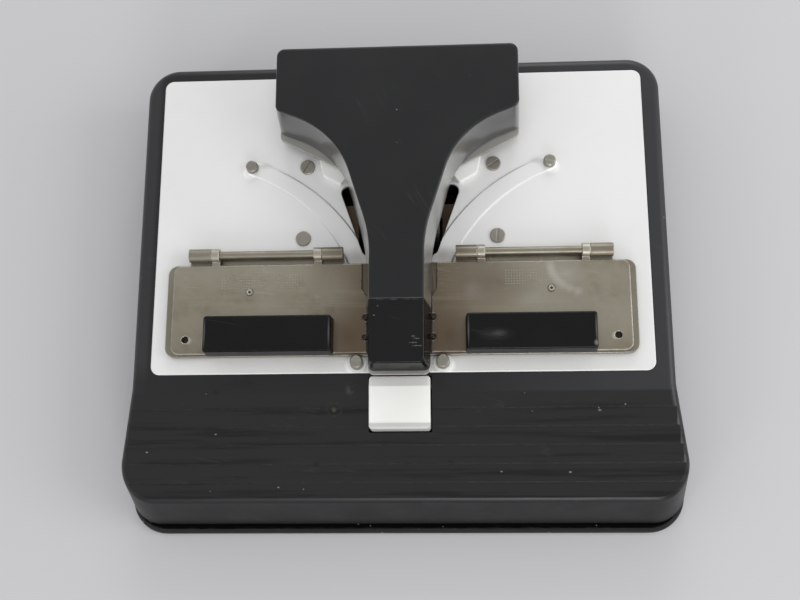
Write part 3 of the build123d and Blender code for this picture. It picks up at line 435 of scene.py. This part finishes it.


# moulded plastic: patches, zones, edges lightened by wear and on some pieces by a painted
# highlight, scratches, specks, marks and grain
def moulding(name, values):
    material, tree, shader, point = startMaterial(name)
    up = upMask(tree)
    patch = noiseNode(tree, point, values["patchScale"], detail=4.0)
    patch = rangeNode(tree, patch, *noiseCuts["patch"])
    colour = mixColour(tree, patch, values["colour"], values["patchColour"])
    colour, dull = addZones(tree, point, colour, values.get("zones", ()))
    edgeWearAndSheen = placeGroup(tree, edgeWearAndSheenGroup, point, Radius=values["edgeWearAndSheenRadius"],
                      Breaks=values["edgeWearAndSheenBreak"])
    # the light colour along sharp edges is wear, and on the arm, the glossy mouldings and the
    # grips also a painted highlight
    colour = layOver(tree, colour, edgeWearAndSheen.outputs["Mask"], values["edgeWearAndSheen"], values["edgeWearAndSheenColour"])
    scratch = placeGroup(tree, fineScratches, point, Turn=values["scratchTurn"],
                         Scale=values["scratchScale"], Width=values["scratchWidth"])
    scratchMask = mathNode(tree, "MULTIPLY", scratch.outputs[0], values["scratch"])
    colour = mixColour(tree, scratchMask, colour, values["edgeWearAndSheenColour"])
    specks = placeGroup(tree, dustSpecks, point, Scale=values["speckScale"],
                        Share=values["speckShare"], Size=values["speckSize"])
    colour = layOver(tree, colour, specks.outputs[0], values["speck"], values["speckColour"])
    colour = addMarks(tree, point, colour, values.get("marks", ()))
    tree.links.new(colour, shader.inputs["Base Color"])
    shader.inputs["Specular IOR Level"].default_value = values["specular"]
    if "coatRoughness" in values:  # a sheen that differs between the top and the walls
        shader.inputs["Coat Roughness"].default_value = values["coatRoughness"]
        coat = mathNode(tree, "MULTIPLY_ADD", up, values["topCoat"] - values["sideCoat"],
                        values["sideCoat"])
        if dull is not None:
            coat = mathNode(tree, "MULTIPLY", coat, mathNode(tree, "SUBTRACT", 1.0, dull))
        tree.links.new(coat, shader.inputs["Coat Weight"])
    rough = noiseNode(tree, point, values["patchScale"] * values["roughScale"], detail=5.0)
    rough = rangeNode(tree, rough, *noiseCuts["roughness"],
                      values["roughness"] - values["roughSpread"],
                      values["roughness"] + values["roughSpread"])
    if "sideRoughness" in values:
        rough = mathNode(tree, "MULTIPLY_ADD", mathNode(tree, "SUBTRACT", 1.0, up),
                         values["sideRoughness"] - values["roughness"], rough)
    rough = mathNode(tree, "MULTIPLY_ADD", edgeWearAndSheen.outputs["Mask"], -values["wearPolish"], rough,
                     clamp=True)
    tree.links.new(rough, shader.inputs["Roughness"])
    grain = placeGroup(tree, mouldedGrain, point, Scale=values["grainScale"])
    height = mathNode(tree, "SUBTRACT", grain.outputs[0], scratchMask)
    bump = bumpNode(tree, height, values["grainDepth"], values["grainStrength"],
                    edgeWearAndSheen.outputs["Normal"])
    tree.links.new(bump, shader.inputs["Normal"])
    return material


blackValues = {
    "colour": (0.0040, 0.0045, 0.0052), "patchColour": (0.0058, 0.0060, 0.0066),
    "patchScale": 22.0, "specular": 0.42, "edgeWearAndSheenRadius": 0.0005, "edgeWearAndSheenBreak": 0.55,
    "edgeWearAndSheen": 0.30, "edgeWearAndSheenColour": (0.085, 0.088, 0.092), "wearPolish": 0.08,
    "scratchTurn": 0.2, "scratchScale": 260.0, "scratchWidth": 0.012, "scratch": 0.10,
    "speckScale": 115.0, "speckShare": 0.07, "speckSize": 0.030, "speck": 0.6,
    "speckColour": (0.40, 0.39, 0.36), "roughness": 0.36, "roughSpread": 0.05,
    "roughScale": 2.3, "grainScale": 2600.0, "grainDepth": 0.00002, "grainStrength": 0.6}
baseValues = dict(
    blackValues, specular=0.17, topCoat=0.50, sideCoat=0.0, coatRoughness=0.36,
    # painted highlight: the upward faces along the rounded side rims are lighter
    zones=[{"axis": "X", "bothSides": True, "from": 0.0903, "to": 0.0925, "amount": 0.9,
            "colour": (0.0200, 0.0205, 0.0215), "facing": "up"},
           {"axis": "Y", "from": -0.0260, "to": -0.0370, "amount": 0.85, "facing": "up",
            "colour": (0.0050, 0.0053, 0.0058)},
           # painted light: the upward faces of the right half are lighter
           {"axis": "X", "from": 0.0050, "to": 0.0750, "amount": 0.9, "facing": "up",
            "colour": (0.0230, 0.0240, 0.0260)},
           {"axis": "Y", "from": -0.0389, "to": -0.0401, "amount": 1.0, "facing": "up",
            "colour": (0.0052, 0.0050, 0.0046)},
           # painted shade: dark streaks with less coat across the ribbed palm stand in for the
           # shade of its grooves
           {"axis": "Y", "from": -0.0430, "to": -0.0450, "until": (-0.0820, -0.0835),
            "facing": "up", "amount": 0.9, "dull": 0.40, "streak": 300.0,
            "colour": (0.0012, 0.0013, 0.0012)},
           # painted light: faces get lighter below 18 mm and fully below 9 mm, for the lit lower
           # part of the front face
           {"axis": "Z", "from": 0.0180, "to": 0.0090, "amount": 0.8,
            "colour": (0.0100, 0.0092, 0.0088)}],
    marks=[{"middle": (-23.6, -69.8, -2.3), "radius": 0.0010, "amount": 0.6,
            "stretch": (1.0, 1.0, 0.1), "colour": (0.09, 0.075, 0.05)},
           {"middle": (-23.4, -69.6, -2.3), "radius": 0.0032, "hollow": 0.0026, "soft": 0.3,
            "amount": 0.20, "stretch": (1.0, 1.0, 0.1), "colour": (0.10, 0.095, 0.06),
            "broken": True},
           {"middle": (-55.2, -59.7, -0.5), "radius": 0.0046, "amount": 0.85, "broken": True,
            "stretch": (0.7, 1.7, 0.1), "colour": (0.0006, 0.0006, 0.0007)},
           {"middle": (-17.8, -63.0, -0.5), "radius": 0.0022, "amount": 0.30,
            "stretch": (1.2, 0.8, 0.1), "colour": (0.09, 0.10, 0.10), "broken": True}]
    + [{"middle": (x, y, -5.0), "radius": 0.0013, "amount": 0.95, "stretch": (1.0, 1.0, 0.1),
        "soft": 0.5, "colour": (0.0006, 0.0006, 0.0006)}
       for x, y in ((-30.1, -88.6), (17.6, -88.1), (-66.0, -63.5))]
    + [{"middle": (x, y, -5.0), "radius": radius, "amount": 0.6, "stretch": (0.7, 1.2, 0.1),
        "soft": 0.8, "colour": (0.42, 0.41, 0.38)}
       for x, y, radius in ((-66.1, -78.0, 0.0004), (-91.1, -84.1, 0.0004),
                            (-43.7, -96.5, 0.0005), (-68.2, -97.8, 0.0004),
                            (59.3, -91.7, 0.0005), (35.3, -91.4, 0.0004),
                            (46.4, -70.7, 0.0004), (69.9, -70.6, 0.0006))])
trayValues = dict(
    blackValues, specular=0.02, topCoat=0.80, sideCoat=0.56, coatRoughness=0.36,
    speckShare=0.30, speckScale=230.0, speckSize=0.060, speck=0.7,
    # painted shadow: the tray above 3.7 mm, the ledge in the gap under the shell, is near black
    # and almost without coat
    zones=[{"axis": "Z", "from": 0.0032, "to": 0.0037, "amount": 1.0, "dull": 0.95,
            "colour": (0.0003, 0.0003, 0.0003)},
           {"axis": "Z", "from": 0.0034, "to": 0.0030, "amount": 0.8,
            "colour": (0.014, 0.012, 0.011), "streak": 420.0}])
armValues = dict(
    blackValues, colour=(0.0022, 0.0026, 0.0031), patchColour=(0.0032, 0.0037, 0.0042),
    # light lines along the arm's edges: the edge colour here is wear with a painted highlight
    speckShare=0.03, scratchTurn=1.1, scratch=0.06, roughness=0.34, edgeWearAndSheen=0.6, edgeWearAndSheenBreak=0.15,
    edgeWearAndSheenRadius=0.0008, edgeWearAndSheenColour=(0.16, 0.165, 0.17),
    topCoat=0.0, sideCoat=1.0, coatRoughness=0.20, sideRoughness=0.20,
    # painted reflection of the deck: the arm's walls are lighter than its top, and lighter still
    # in front of the head
    zones=[{"axis": "Z", "from": -1.0, "to": -0.9, "amount": 1.0, "facing": "wall",
            "colour": (0.046, 0.047, 0.047)},
           {"axis": "Y", "from": 0.0520, "to": 0.0330, "amount": 1.0, "facing": "wall",
            "colour": (0.100, 0.098, 0.091)}])
capScratchWidth = 0.00026  # half of it, in metres
glossValues = dict(
    blackValues, colour=(0.0020, 0.0022, 0.0025), patchColour=(0.0035, 0.0037, 0.0040),
    patchScale=60.0, roughness=0.24, grainDepth=0.000006, edgeWearAndSheen=0.65, edgeWearAndSheenRadius=0.0006,
    edgeWearAndSheenColour=(0.20, 0.20, 0.195), scratch=0.16, speckShare=0.04, specular=0.03,
    topCoat=0.46, sideCoat=0.0, coatRoughness=0.24,
    marks=[{"middle": (x, y, 21.0), "radius": radius, "amount": 0.5,
            "stretch": (1.0, radius / capScratchWidth, 0.1), "broken": True,
            "brokenScale": 2400.0, "colour": (0.34, 0.34, 0.33)}
           for x, y, radius in ((5.7, -48.2, 0.0009), (6.7, -49.0, 0.0014),
                                (5.7, -50.4, 0.0017), (7.0, -51.5, 0.0020),
                                (-6.3, -37.5, 0.0004), (-7.6, -40.8, 0.0005))]
    + [{"middle": (x, -57.3, 20.0), "radius": 0.0011, "amount": 0.5,
        "stretch": (1.0, 1.3, 0.6), "broken": True, "brokenScale": 1600.0,
        "colour": (0.40, 0.40, 0.39)} for x in (-9.0, 9.4)])
gripValues = dict(
    # light edges: wear with a painted highlight
    glossValues, topCoat=0.34, scratch=0.05, speckShare=0.02, edgeWearAndSheen=0.8,
    edgeWearAndSheenColour=(0.28, 0.28, 0.27),
    marks=[{"middle": (35.0, -45.2, 10.5), "radius": 0.0026, "amount": 0.30, "soft": 1.0,
            "stretch": (0.8, 1.9, 0.1), "colour": (0.11, 0.11, 0.11)},
           {"middle": (34.0, -45.5, 10.5), "radius": 0.0060, "amount": 0.12, "soft": 1.0,
            "stretch": (0.8, 2.2, 0.1), "colour": (0.11, 0.11, 0.11)}]
    # painted highlights: a light line down each end face of the two grips
    + [{"middle": (x, -44.0, 10.5), "radius": 0.0064, "amount": 0.45, "soft": 0.9,
        "stretch": (15.0, 1.0, 0.1), "colour": (0.17, 0.17, 0.165)}
       for x in (-68.4, -24.4, 24.4, 68.4)]
    # painted highlight: a small light spot at the outer front corner of the right grip
    + [{"middle": (68.2, -49.0, 10.5), "radius": 0.0009, "amount": 0.45, "soft": 1.0,
        "stretch": (1.0, 0.7, 0.1), "colour": (0.40, 0.40, 0.39)}])
whiteValues = {
    "colour": (0.90, 0.90, 0.875), "patchColour": (0.86, 0.86, 0.825), "patchScale": 40.0,
    "specular": 0.45, "edgeWearAndSheenRadius": 0.0006, "edgeWearAndSheenBreak": 0.3, "edgeWearAndSheen": 0.25,
    "edgeWearAndSheenColour": (0.92, 0.92, 0.90), "wearPolish": 0.05, "scratchTurn": 0.4,
    "scratchScale": 300.0, "scratchWidth": 0.012, "scratch": 0.12, "speckScale": 240.0,
    "speckShare": 0.05, "speckSize": 0.045, "speck": 0.5, "speckColour": (0.35, 0.30, 0.22),
    "roughness": 0.33, "roughSpread": 0.05, "roughScale": 2.3, "grainScale": 1800.0,
    "grainDepth": 0.000008, "grainStrength": 0.6}
keyValues = dict(
    # painted shade: the front of the key is darker
    whiteValues, zones=[{"axis": "Y", "from": -0.0506, "to": -0.0512, "amount": 0.8,
                         "colour": (0.52, 0.52, 0.51)}])
greyValues = dict(
    whiteValues, colour=(0.27, 0.27, 0.27), patchColour=(0.22, 0.22, 0.23),
    edgeWearAndSheenColour=(0.45, 0.45, 0.44), roughness=0.5, grainDepth=0.00003)
rubberValues = dict(
    blackValues, colour=(0.012, 0.012, 0.012), patchColour=(0.02, 0.019, 0.018),
    roughness=0.75, speckShare=0.2, speckScale=300.0, grainDepth=0.00006)
sleeveValues = dict(
    blackValues, colour=(0.03, 0.07, 0.05), patchColour=(0.04, 0.09, 0.06),
    roughness=0.3, grainDepth=0.000006, specular=0.5)


# metal: patches, stains, zones, edges lightened by wear and on some pieces by a painted
# highlight, scratches, marks and a brushed grain
def metal(name, values):
    material, tree, shader, point = startMaterial(name)
    shader.inputs["Metallic"].default_value = values["metallic"]
    patch = noiseNode(tree, point, values["patchScale"], detail=5.0, roughness=0.6)
    patch = rangeNode(tree, patch, *noiseCuts["metalPatch"])
    colour = mixColour(tree, patch, values["colour"], values["patchColour"])
    stain = noiseNode(tree, point, values["stainScale"], detail=6.0, roughness=0.65)
    stain = rangeNode(tree, stain, *noiseCuts["stain"])
    colour = layOver(tree, colour, stain, values["stain"], values["stainColour"])
    colour = addZones(tree, point, colour, values.get("zones", ()))[0]
    edgeWearAndSheen = placeGroup(tree, edgeWearAndSheenGroup, point, Radius=values["edgeWearAndSheenRadius"],
                      Breaks=values["edgeWearAndSheenBreak"])
    # the light colour along sharp edges is wear, and on the clamp plates also a painted
    # highlight
    colour = layOver(tree, colour, edgeWearAndSheen.outputs["Mask"], values["edgeWearAndSheen"], values["edgeWearAndSheenColour"])
    first, second = [
        placeGroup(tree, fineScratches, point, Turn=turn, Scale=scale,
                   Width=values["scratchWidth"]).outputs[0]
        for turn, scale in zip(values["scratchTurns"], values["scratchScales"])]
    scratchMask = mathNode(tree, "MULTIPLY", mathNode(tree, "MAXIMUM", first, second),
                           values["scratch"])
    colour = mixColour(tree, scratchMask, colour, values["edgeWearAndSheenColour"])
    colour = addMarks(tree, point, colour, values.get("marks", ()))
    tree.links.new(colour, shader.inputs["Base Color"])
    brushed = noiseNode(tree, point, values["brushScale"], detail=2.0, roughness=0.5,
                        stretch=values["brush"])
    rough = rangeNode(tree, brushed, *noiseCuts["roughness"],
                      values["roughness"] - values["roughSpread"],
                      values["roughness"] + values["roughSpread"])
    rough = mathNode(tree, "MULTIPLY_ADD", stain, values["stain"] * values["stainRough"], rough,
                     clamp=True)
    tree.links.new(rough, shader.inputs["Roughness"])
    height = mathNode(tree, "MULTIPLY_ADD", scratchMask, -values["scratchDepth"], brushed)
    bump = bumpNode(tree, height, values["brushDepth"], values["brushStrength"],
                    edgeWearAndSheen.outputs["Normal"])
    tree.links.new(bump, shader.inputs["Normal"])
    return material


deckValues = {
    "colour": (0.82, 0.82, 0.81), "patchColour": (0.78, 0.78, 0.77), "patchScale": 9.0,
    "metallic": 0.45, "stainScale": 30.0, "stain": 0.07, "stainColour": (0.60, 0.58, 0.55),
    "stainRough": 0.2, "edgeWearAndSheenRadius": 0.0004, "edgeWearAndSheenBreak": 0.3, "edgeWearAndSheen": 0.4,
    "edgeWearAndSheenColour": (0.90, 0.90, 0.89), "scratchTurns": (0.3, 1.4),
    "scratchScales": (380.0, 330.0), "scratchWidth": 0.01, "scratchDepth": 0.5,
    "scratch": 0.10, "brush": (0.25, 1.0, 1.0), "brushScale": 2200.0,
    "brushDepth": 0.000002, "brushStrength": 0.5, "roughness": 0.48, "roughSpread": 0.03,
    # painted highlight: a light ring round the foot of each rear stop pin
    "marks": [{"middle": (side * 56.2, 19.2, 0.0), "radius": 0.0030, "soft": 0.35, "amount": 0.8,
               "colour": (0.99, 0.99, 0.98)} for side in (-1, 1)]
    # painted shadow: a grey patch beside each rear stop pin, towards the arm
    + [{"middle": (side * 50.6, 21.6, 0.0), "radius": 0.0026, "soft": 0.8, "amount": 0.40,
        "stretch": (0.75, 1.5, 1.0), "colour": (0.40, 0.39, 0.37)} for side in (-1, 1)]
    # painted reflection and shade of the brown carrier plates on the deck beside the arm
    + [{"middle": (side * 15.5, -14.6, 0.0), "radius": 0.0060, "soft": 0.8, "amount": 0.50,
        "stretch": (1.0, 1.3, 1.0), "colour": (0.36, 0.31, 0.27)} for side in (-1, 1)]
    # painted highlight: a light crescent at the foot of each front pin, on its outer front side
    + [{"middle": (side * 17.0, -54.6, 0.0), "radius": 0.0031, "soft": 0.35, "amount": 0.85,
        "colour": (0.99, 0.99, 0.98)} for side in (-1, 1)]
    + [{"middle": (side * 13.3, -53.4, 0.0), "radius": 0.0026, "soft": 0.7, "amount": 0.55,
        "broken": True, "colour": (0.12, 0.09, 0.06)} for side in (-1, 1)]}
nickelValues = {
    "colour": (0.265, 0.245, 0.195), "patchColour": (0.225, 0.200, 0.155), "patchScale": 26.0,
    "metallic": 0.9, "stainScale": 45.0, "stain": 0.25, "stainColour": (0.15, 0.118, 0.085),
    "stainRough": 0.2, "edgeWearAndSheenRadius": 0.0005, "edgeWearAndSheenBreak": 0.3, "edgeWearAndSheen": 0.75,
    "edgeWearAndSheenColour": (0.62, 0.60, 0.54), "scratchTurns": (0.3, 1.4),
    "scratchScales": (380.0, 330.0), "scratchWidth": 0.01, "scratchDepth": 0.5,
    "scratch": 0.22, "brush": (0.12, 1.0, 1.0), "brushScale": 1900.0,
    "brushDepth": 0.000004, "brushStrength": 0.5, "roughness": 0.40, "roughSpread": 0.05}
clampValues = dict(
    nickelValues, colour=(0.330, 0.305, 0.245), patchColour=(0.280, 0.250, 0.190),
    # light edges: wear with a painted highlight along the plates' edges
    edgeWearAndSheen=0.9, edgeWearAndSheenColour=(0.80, 0.78, 0.72), scratch=0.10, scratchTurns=(0.02, 0.10),
    stain=0.40, stainScale=60.0, brush=(0.5, 1.0, 1.0), roughSpread=0.03,
    zones=[{"axis": "X", "bothSides": True, "from": 0.050, "to": 0.013, "amount": 0.90,
            "uneven": 0.016, "unevenScale": 40.0, "colour": (0.135, 0.100, 0.067)},
           {"axis": "Y", "from": -0.0120, "to": -0.0240, "amount": 0.35, "uneven": 0.010,
            "unevenScale": 50.0, "colour": (0.150, 0.118, 0.085)},
           {"axis": "Y", "from": 0.0020, "to": -0.0080, "until": (-0.0085, -0.0125),
            "amount": 0.15, "streak": 700.0, "colour": (0.40, 0.37, 0.30)},
           {"axis": "Y", "from": 0.0072, "to": 0.0077, "amount": 0.6,
            "colour": (0.46, 0.43, 0.37)}],
    marks=[{"middle": (x, -27.9, 4.3), "radius": 0.0016, "hollow": 0.0012, "soft": 0.25,
            "amount": 0.9, "colour": (0.03, 0.027, 0.022)} for x in (-54.0, 54.0)]
    + [{"middle": (x, -45.4, 4.3), "radius": 0.0013, "soft": 0.5, "amount": 0.50,
        "stretch": (1.0, 0.8, 1.0), "colour": (0.60, 0.58, 0.52)} for x in (-75.5, 75.5)]
    + [{"middle": (x, y, 4.3), "radius": 0.0022, "amount": amount, "soft": 1.0,
        "colour": (0.62, 0.60, 0.55)}
       for x, y, amount in ((53.8, -19.3, 0.35), (54.1, -21.0, 0.40), (54.8, -23.0, 0.40),
                            (56.2, -25.0, 0.40), (58.0, -26.7, 0.38), (60.4, -28.0, 0.35),
                            (63.2, -29.2, 0.30))]
    + [{"middle": (59.6, -22.6, 4.3), "radius": 0.0060, "amount": 0.30, "soft": 1.0,
        "stretch": (0.8, 1.2, 1.0), "colour": (0.56, 0.53, 0.50)},
       {"middle": (26.0, -28.0, 4.3), "radius": 0.0040, "amount": 0.22, "soft": 1.0,
        "colour": (0.50, 0.48, 0.44)},
       {"middle": (46.0, -31.5, 4.3), "radius": 0.0050, "amount": 0.18, "soft": 1.0,
        "stretch": (0.6, 1.5, 1.0), "colour": (0.50, 0.48, 0.44)},
       {"middle": (33.0, -24.5, 4.3), "radius": 0.0150, "amount": 0.60, "soft": 1.0,
        "stretch": (0.8, 1.3, 1.0), "colour": (0.140, 0.108, 0.078)},
       {"middle": (-18.0, -45.0, 4.3), "radius": 0.0130, "amount": 0.80, "soft": 1.0,
        "stretch": (1.1, 0.8, 1.0), "colour": (0.100, 0.064, 0.038)},
       {"middle": (18.0, -45.0, 4.3), "radius": 0.0130, "amount": 0.70, "soft": 1.0,
        "stretch": (1.1, 0.8, 1.0), "colour": (0.100, 0.068, 0.042)}])
carrierValues = dict(
    nickelValues, edgeWearAndSheen=0.85,
    zones=[{"axis": "X", "bothSides": True, "from": 0.040, "to": 0.014, "amount": 0.8,
            "uneven": 0.010, "unevenScale": 60.0, "colour": (0.105, 0.078, 0.052)}])
pinValues = dict(
    nickelValues, colour=(0.045, 0.036, 0.028), patchColour=(0.030, 0.025, 0.020),
    stain=0.1, edgeWearAndSheen=0.3, roughness=0.45)
wornDotValues = dict(
    nickelValues, colour=(0.50, 0.47, 0.40), patchColour=(0.27, 0.25, 0.20),
    patchScale=160.0, stain=0.1)
steelValues = dict(
    nickelValues, colour=(0.31, 0.295, 0.25), patchColour=(0.23, 0.215, 0.185),
    stain=0.2, edgeWearAndSheenColour=(0.66, 0.64, 0.60), edgeWearAndSheenRadius=0.0003, roughness=0.36)
zincValues = dict(
    nickelValues, colour=(0.30, 0.295, 0.28), patchColour=(0.25, 0.245, 0.23),
    stain=0.2, stainColour=(0.17, 0.155, 0.13), roughness=0.42)
leverValues = dict(
    zincValues, colour=(0.40, 0.395, 0.37), patchColour=(0.33, 0.325, 0.305),
    stain=0.1, metallic=0.6)
darkSheetValues = dict(
    nickelValues, colour=(0.150, 0.108, 0.068), patchColour=(0.110, 0.080, 0.050),
    metallic=0.6, stain=0.3, stainColour=(0.03, 0.022, 0.016), edgeWearAndSheen=0.2, scratch=0.1,
    roughness=0.5)
brassValues = dict(
    nickelValues, colour=(0.46, 0.33, 0.15), patchColour=(0.38, 0.27, 0.12),
    edgeWearAndSheenColour=(0.8, 0.65, 0.38), roughness=0.34)
gritValues = dict(
    nickelValues, colour=(0.07, 0.065, 0.06), patchColour=(0.045, 0.042, 0.04),
    metallic=0.3, stain=0.4, stainColour=(0.05, 0.04, 0.03), edgeWearAndSheen=0.2,
    brush=(1.0, 1.0, 1.0), brushScale=900.0, brushDepth=0.00012, roughness=0.75)

# keys in small letters are the material slots of the record, the others are finishes of their
# own for single pieces
materials = {
    "black_moulding": moulding("blackMoulding", blackValues),
    "baseBlack": moulding("baseBlack", baseValues),
    "trayBlack": moulding("trayBlack", trayValues),
    "armBlack": moulding("armBlack", armValues),
    "gloss_black": moulding("glossBlack", glossValues),
    "gripBlack": moulding("gripBlack", gripValues),
    "white_plastic": moulding("whitePlastic", whiteValues),
    "keyWhite": moulding("keyWhite", keyValues),
    "grey_plastic": moulding("greyPlastic", greyValues),
    "rubber": moulding("footRubber", rubberValues),
    "cell_jacket": moulding("cellSleeve", sleeveValues),
    "deck_sheet": metal("satinDeck", deckValues),
    "nickel": metal("agedNickel", nickelValues),
    "clampNickel": metal("clampNickel", clampValues),
    "carrierNickel": metal("carrierNickel", carrierValues),
    "darkPin": metal("darkPin", pinValues),
    "dotNickel": metal("dotNickel", wornDotValues),
    "leverSheet": metal("leverSheet", leverValues),
    "bright_steel": metal("turnedSteel", steelValues),
    "zinc_steel": metal("zincSheet", zincValues),
    "blackened_steel": metal("darkSheet", darkSheetValues),
    "brass": metal("turnedBrass", brassValues),
    "abrasive": metal("wheelGrit", gritValues),
}
print("stage: materials")

# every CAD node gets the finish of its slot, unless it has one of its own here
ownFinish = {"arm_cover": "armBlack", "arm_plate": "leverSheet", "base_housing": "baseBlack",
             "base_tray": "trayBlack", "splice_key": "keyWhite", "carrier_pivots": "darkPin"}
for side in ("left", "right"):
    ownFinish["grip_pad_" + side] = "gripBlack"
    ownFinish["clamp_plate_" + side] = "clampNickel"
    ownFinish["clamp_rivet_" + side] = "dotNickel"
    ownFinish["carrier_plate_" + side] = "carrierNickel"
    ownFinish["registration_pins_" + side] = "darkPin"
for part in frame["record"]["subparts"]:
    name = part["node"]
    piece = nodes[name]
    piece.data.materials.clear()
    piece.data.materials.append(materials[ownFinish.get(name, part["material_slot"])])
print("stage: finishes on the nodes")


def finishPiece(piece, name, finish, body):
    bpy.ops.object.transform_apply(location=True, rotation=True, scale=True)
    piece.name = name
    piece.data.materials.clear()
    piece.data.materials.append(materials[finish])
    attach(piece, body)
    bpy.ops.object.select_all(action="DESELECT")


# Small raised dots of the worn grid on the clamp plates. Each grid has its first dot's place in
# deck mm and its columns and rows; "lift" is the share of the height that raises its middle.
dotValues = {
    "radius": 0.00024, "height": 0.00005, "lift": 0.4, "pitch": 0.00098, "faces": 6,
    "taper": 0.7,
    "left": {"first": (-64.0, -21.6, 4.3), "columns": 30, "rows": 6},
    "right": {"first": (38.0, -21.2, 4.3), "columns": 14, "rows": 6}}


def addDots(values, side):
    grid = values[side]
    bpy.ops.object.select_all(action="DESELECT")
    bpy.ops.mesh.primitive_cylinder_add(
        vertices=values["faces"], radius=values["radius"], depth=values["height"],
        location=atDeck(*grid["first"]) + Vector((0, 0, values["height"] * values["lift"])))
    dots = bpy.context.object
    bpy.ops.object.mode_set(mode="EDIT")
    bpy.ops.mesh.select_mode(type="FACE")
    bpy.ops.mesh.select_all(action="DESELECT")
    bpy.ops.object.mode_set(mode="OBJECT")
    for face in dots.data.polygons:
        face.select = face.normal.z > 0.9  # the top face alone
    bpy.ops.object.mode_set(mode="EDIT")
    bpy.ops.transform.resize(value=(values["taper"], values["taper"], 1),
                             center_override=dots.location)
    bpy.ops.object.mode_set(mode="OBJECT")
    for count, step in ((grid["columns"], (1, 0, 0)), (grid["rows"], (0, -1, 0))):
        repeat = dots.modifiers.new("repeat", "ARRAY")
        repeat.count = count
        repeat.use_relative_offset = False
        repeat.use_constant_offset = True
        repeat.constant_offset_displace = Vector(step) * values["pitch"]
        bpy.ops.object.modifier_apply(modifier=repeat.name)
    finishPiece(dots, "gridDots_" + side, "dotNickel", side + "_clamp")


# sheet under each hinge rod, in deck mm, which closes the gap behind the clamp plate
sheetValues = {"inner": 20.3, "outer": 68.1, "front": -17.6, "rear": -13.0,
               "low": 1.2, "top": 2.0, "edge": 0.0002, "edgeSteps": 2, "smoothAngle": 35}


def addHingeSheet(values, side):
    turn = -1 if side == "left" else 1
    middle = atDeck(turn * (values["inner"] + values["outer"]) / 2,
                    (values["front"] + values["rear"]) / 2, (values["low"] + values["top"]) / 2)
    bpy.ops.mesh.primitive_cube_add(size=0.001, location=middle)  # 1 mm, stretched next
    sheet = bpy.context.object
    sheet.scale = (values["outer"] - values["inner"], values["rear"] - values["front"],
                   values["top"] - values["low"])
    bpy.ops.object.transform_apply(location=False, rotation=False, scale=True)
    rim = sheet.modifiers.new("rim", "BEVEL")
    rim.width = values["edge"]
    rim.segments = values["edgeSteps"]
    bpy.ops.object.modifier_apply(modifier=rim.name)
    bpy.ops.object.shade_smooth_by_angle(angle=math.radians(values["smoothAngle"]))
    finishPiece(sheet, "hingeSheet_" + side, "carrierNickel", side + "_carrier")


for side in ("left", "right"):
    addDots(dotValues, side)
    addHingeSheet(sheetValues, side)
print("stage: grid dots and hinge sheets")
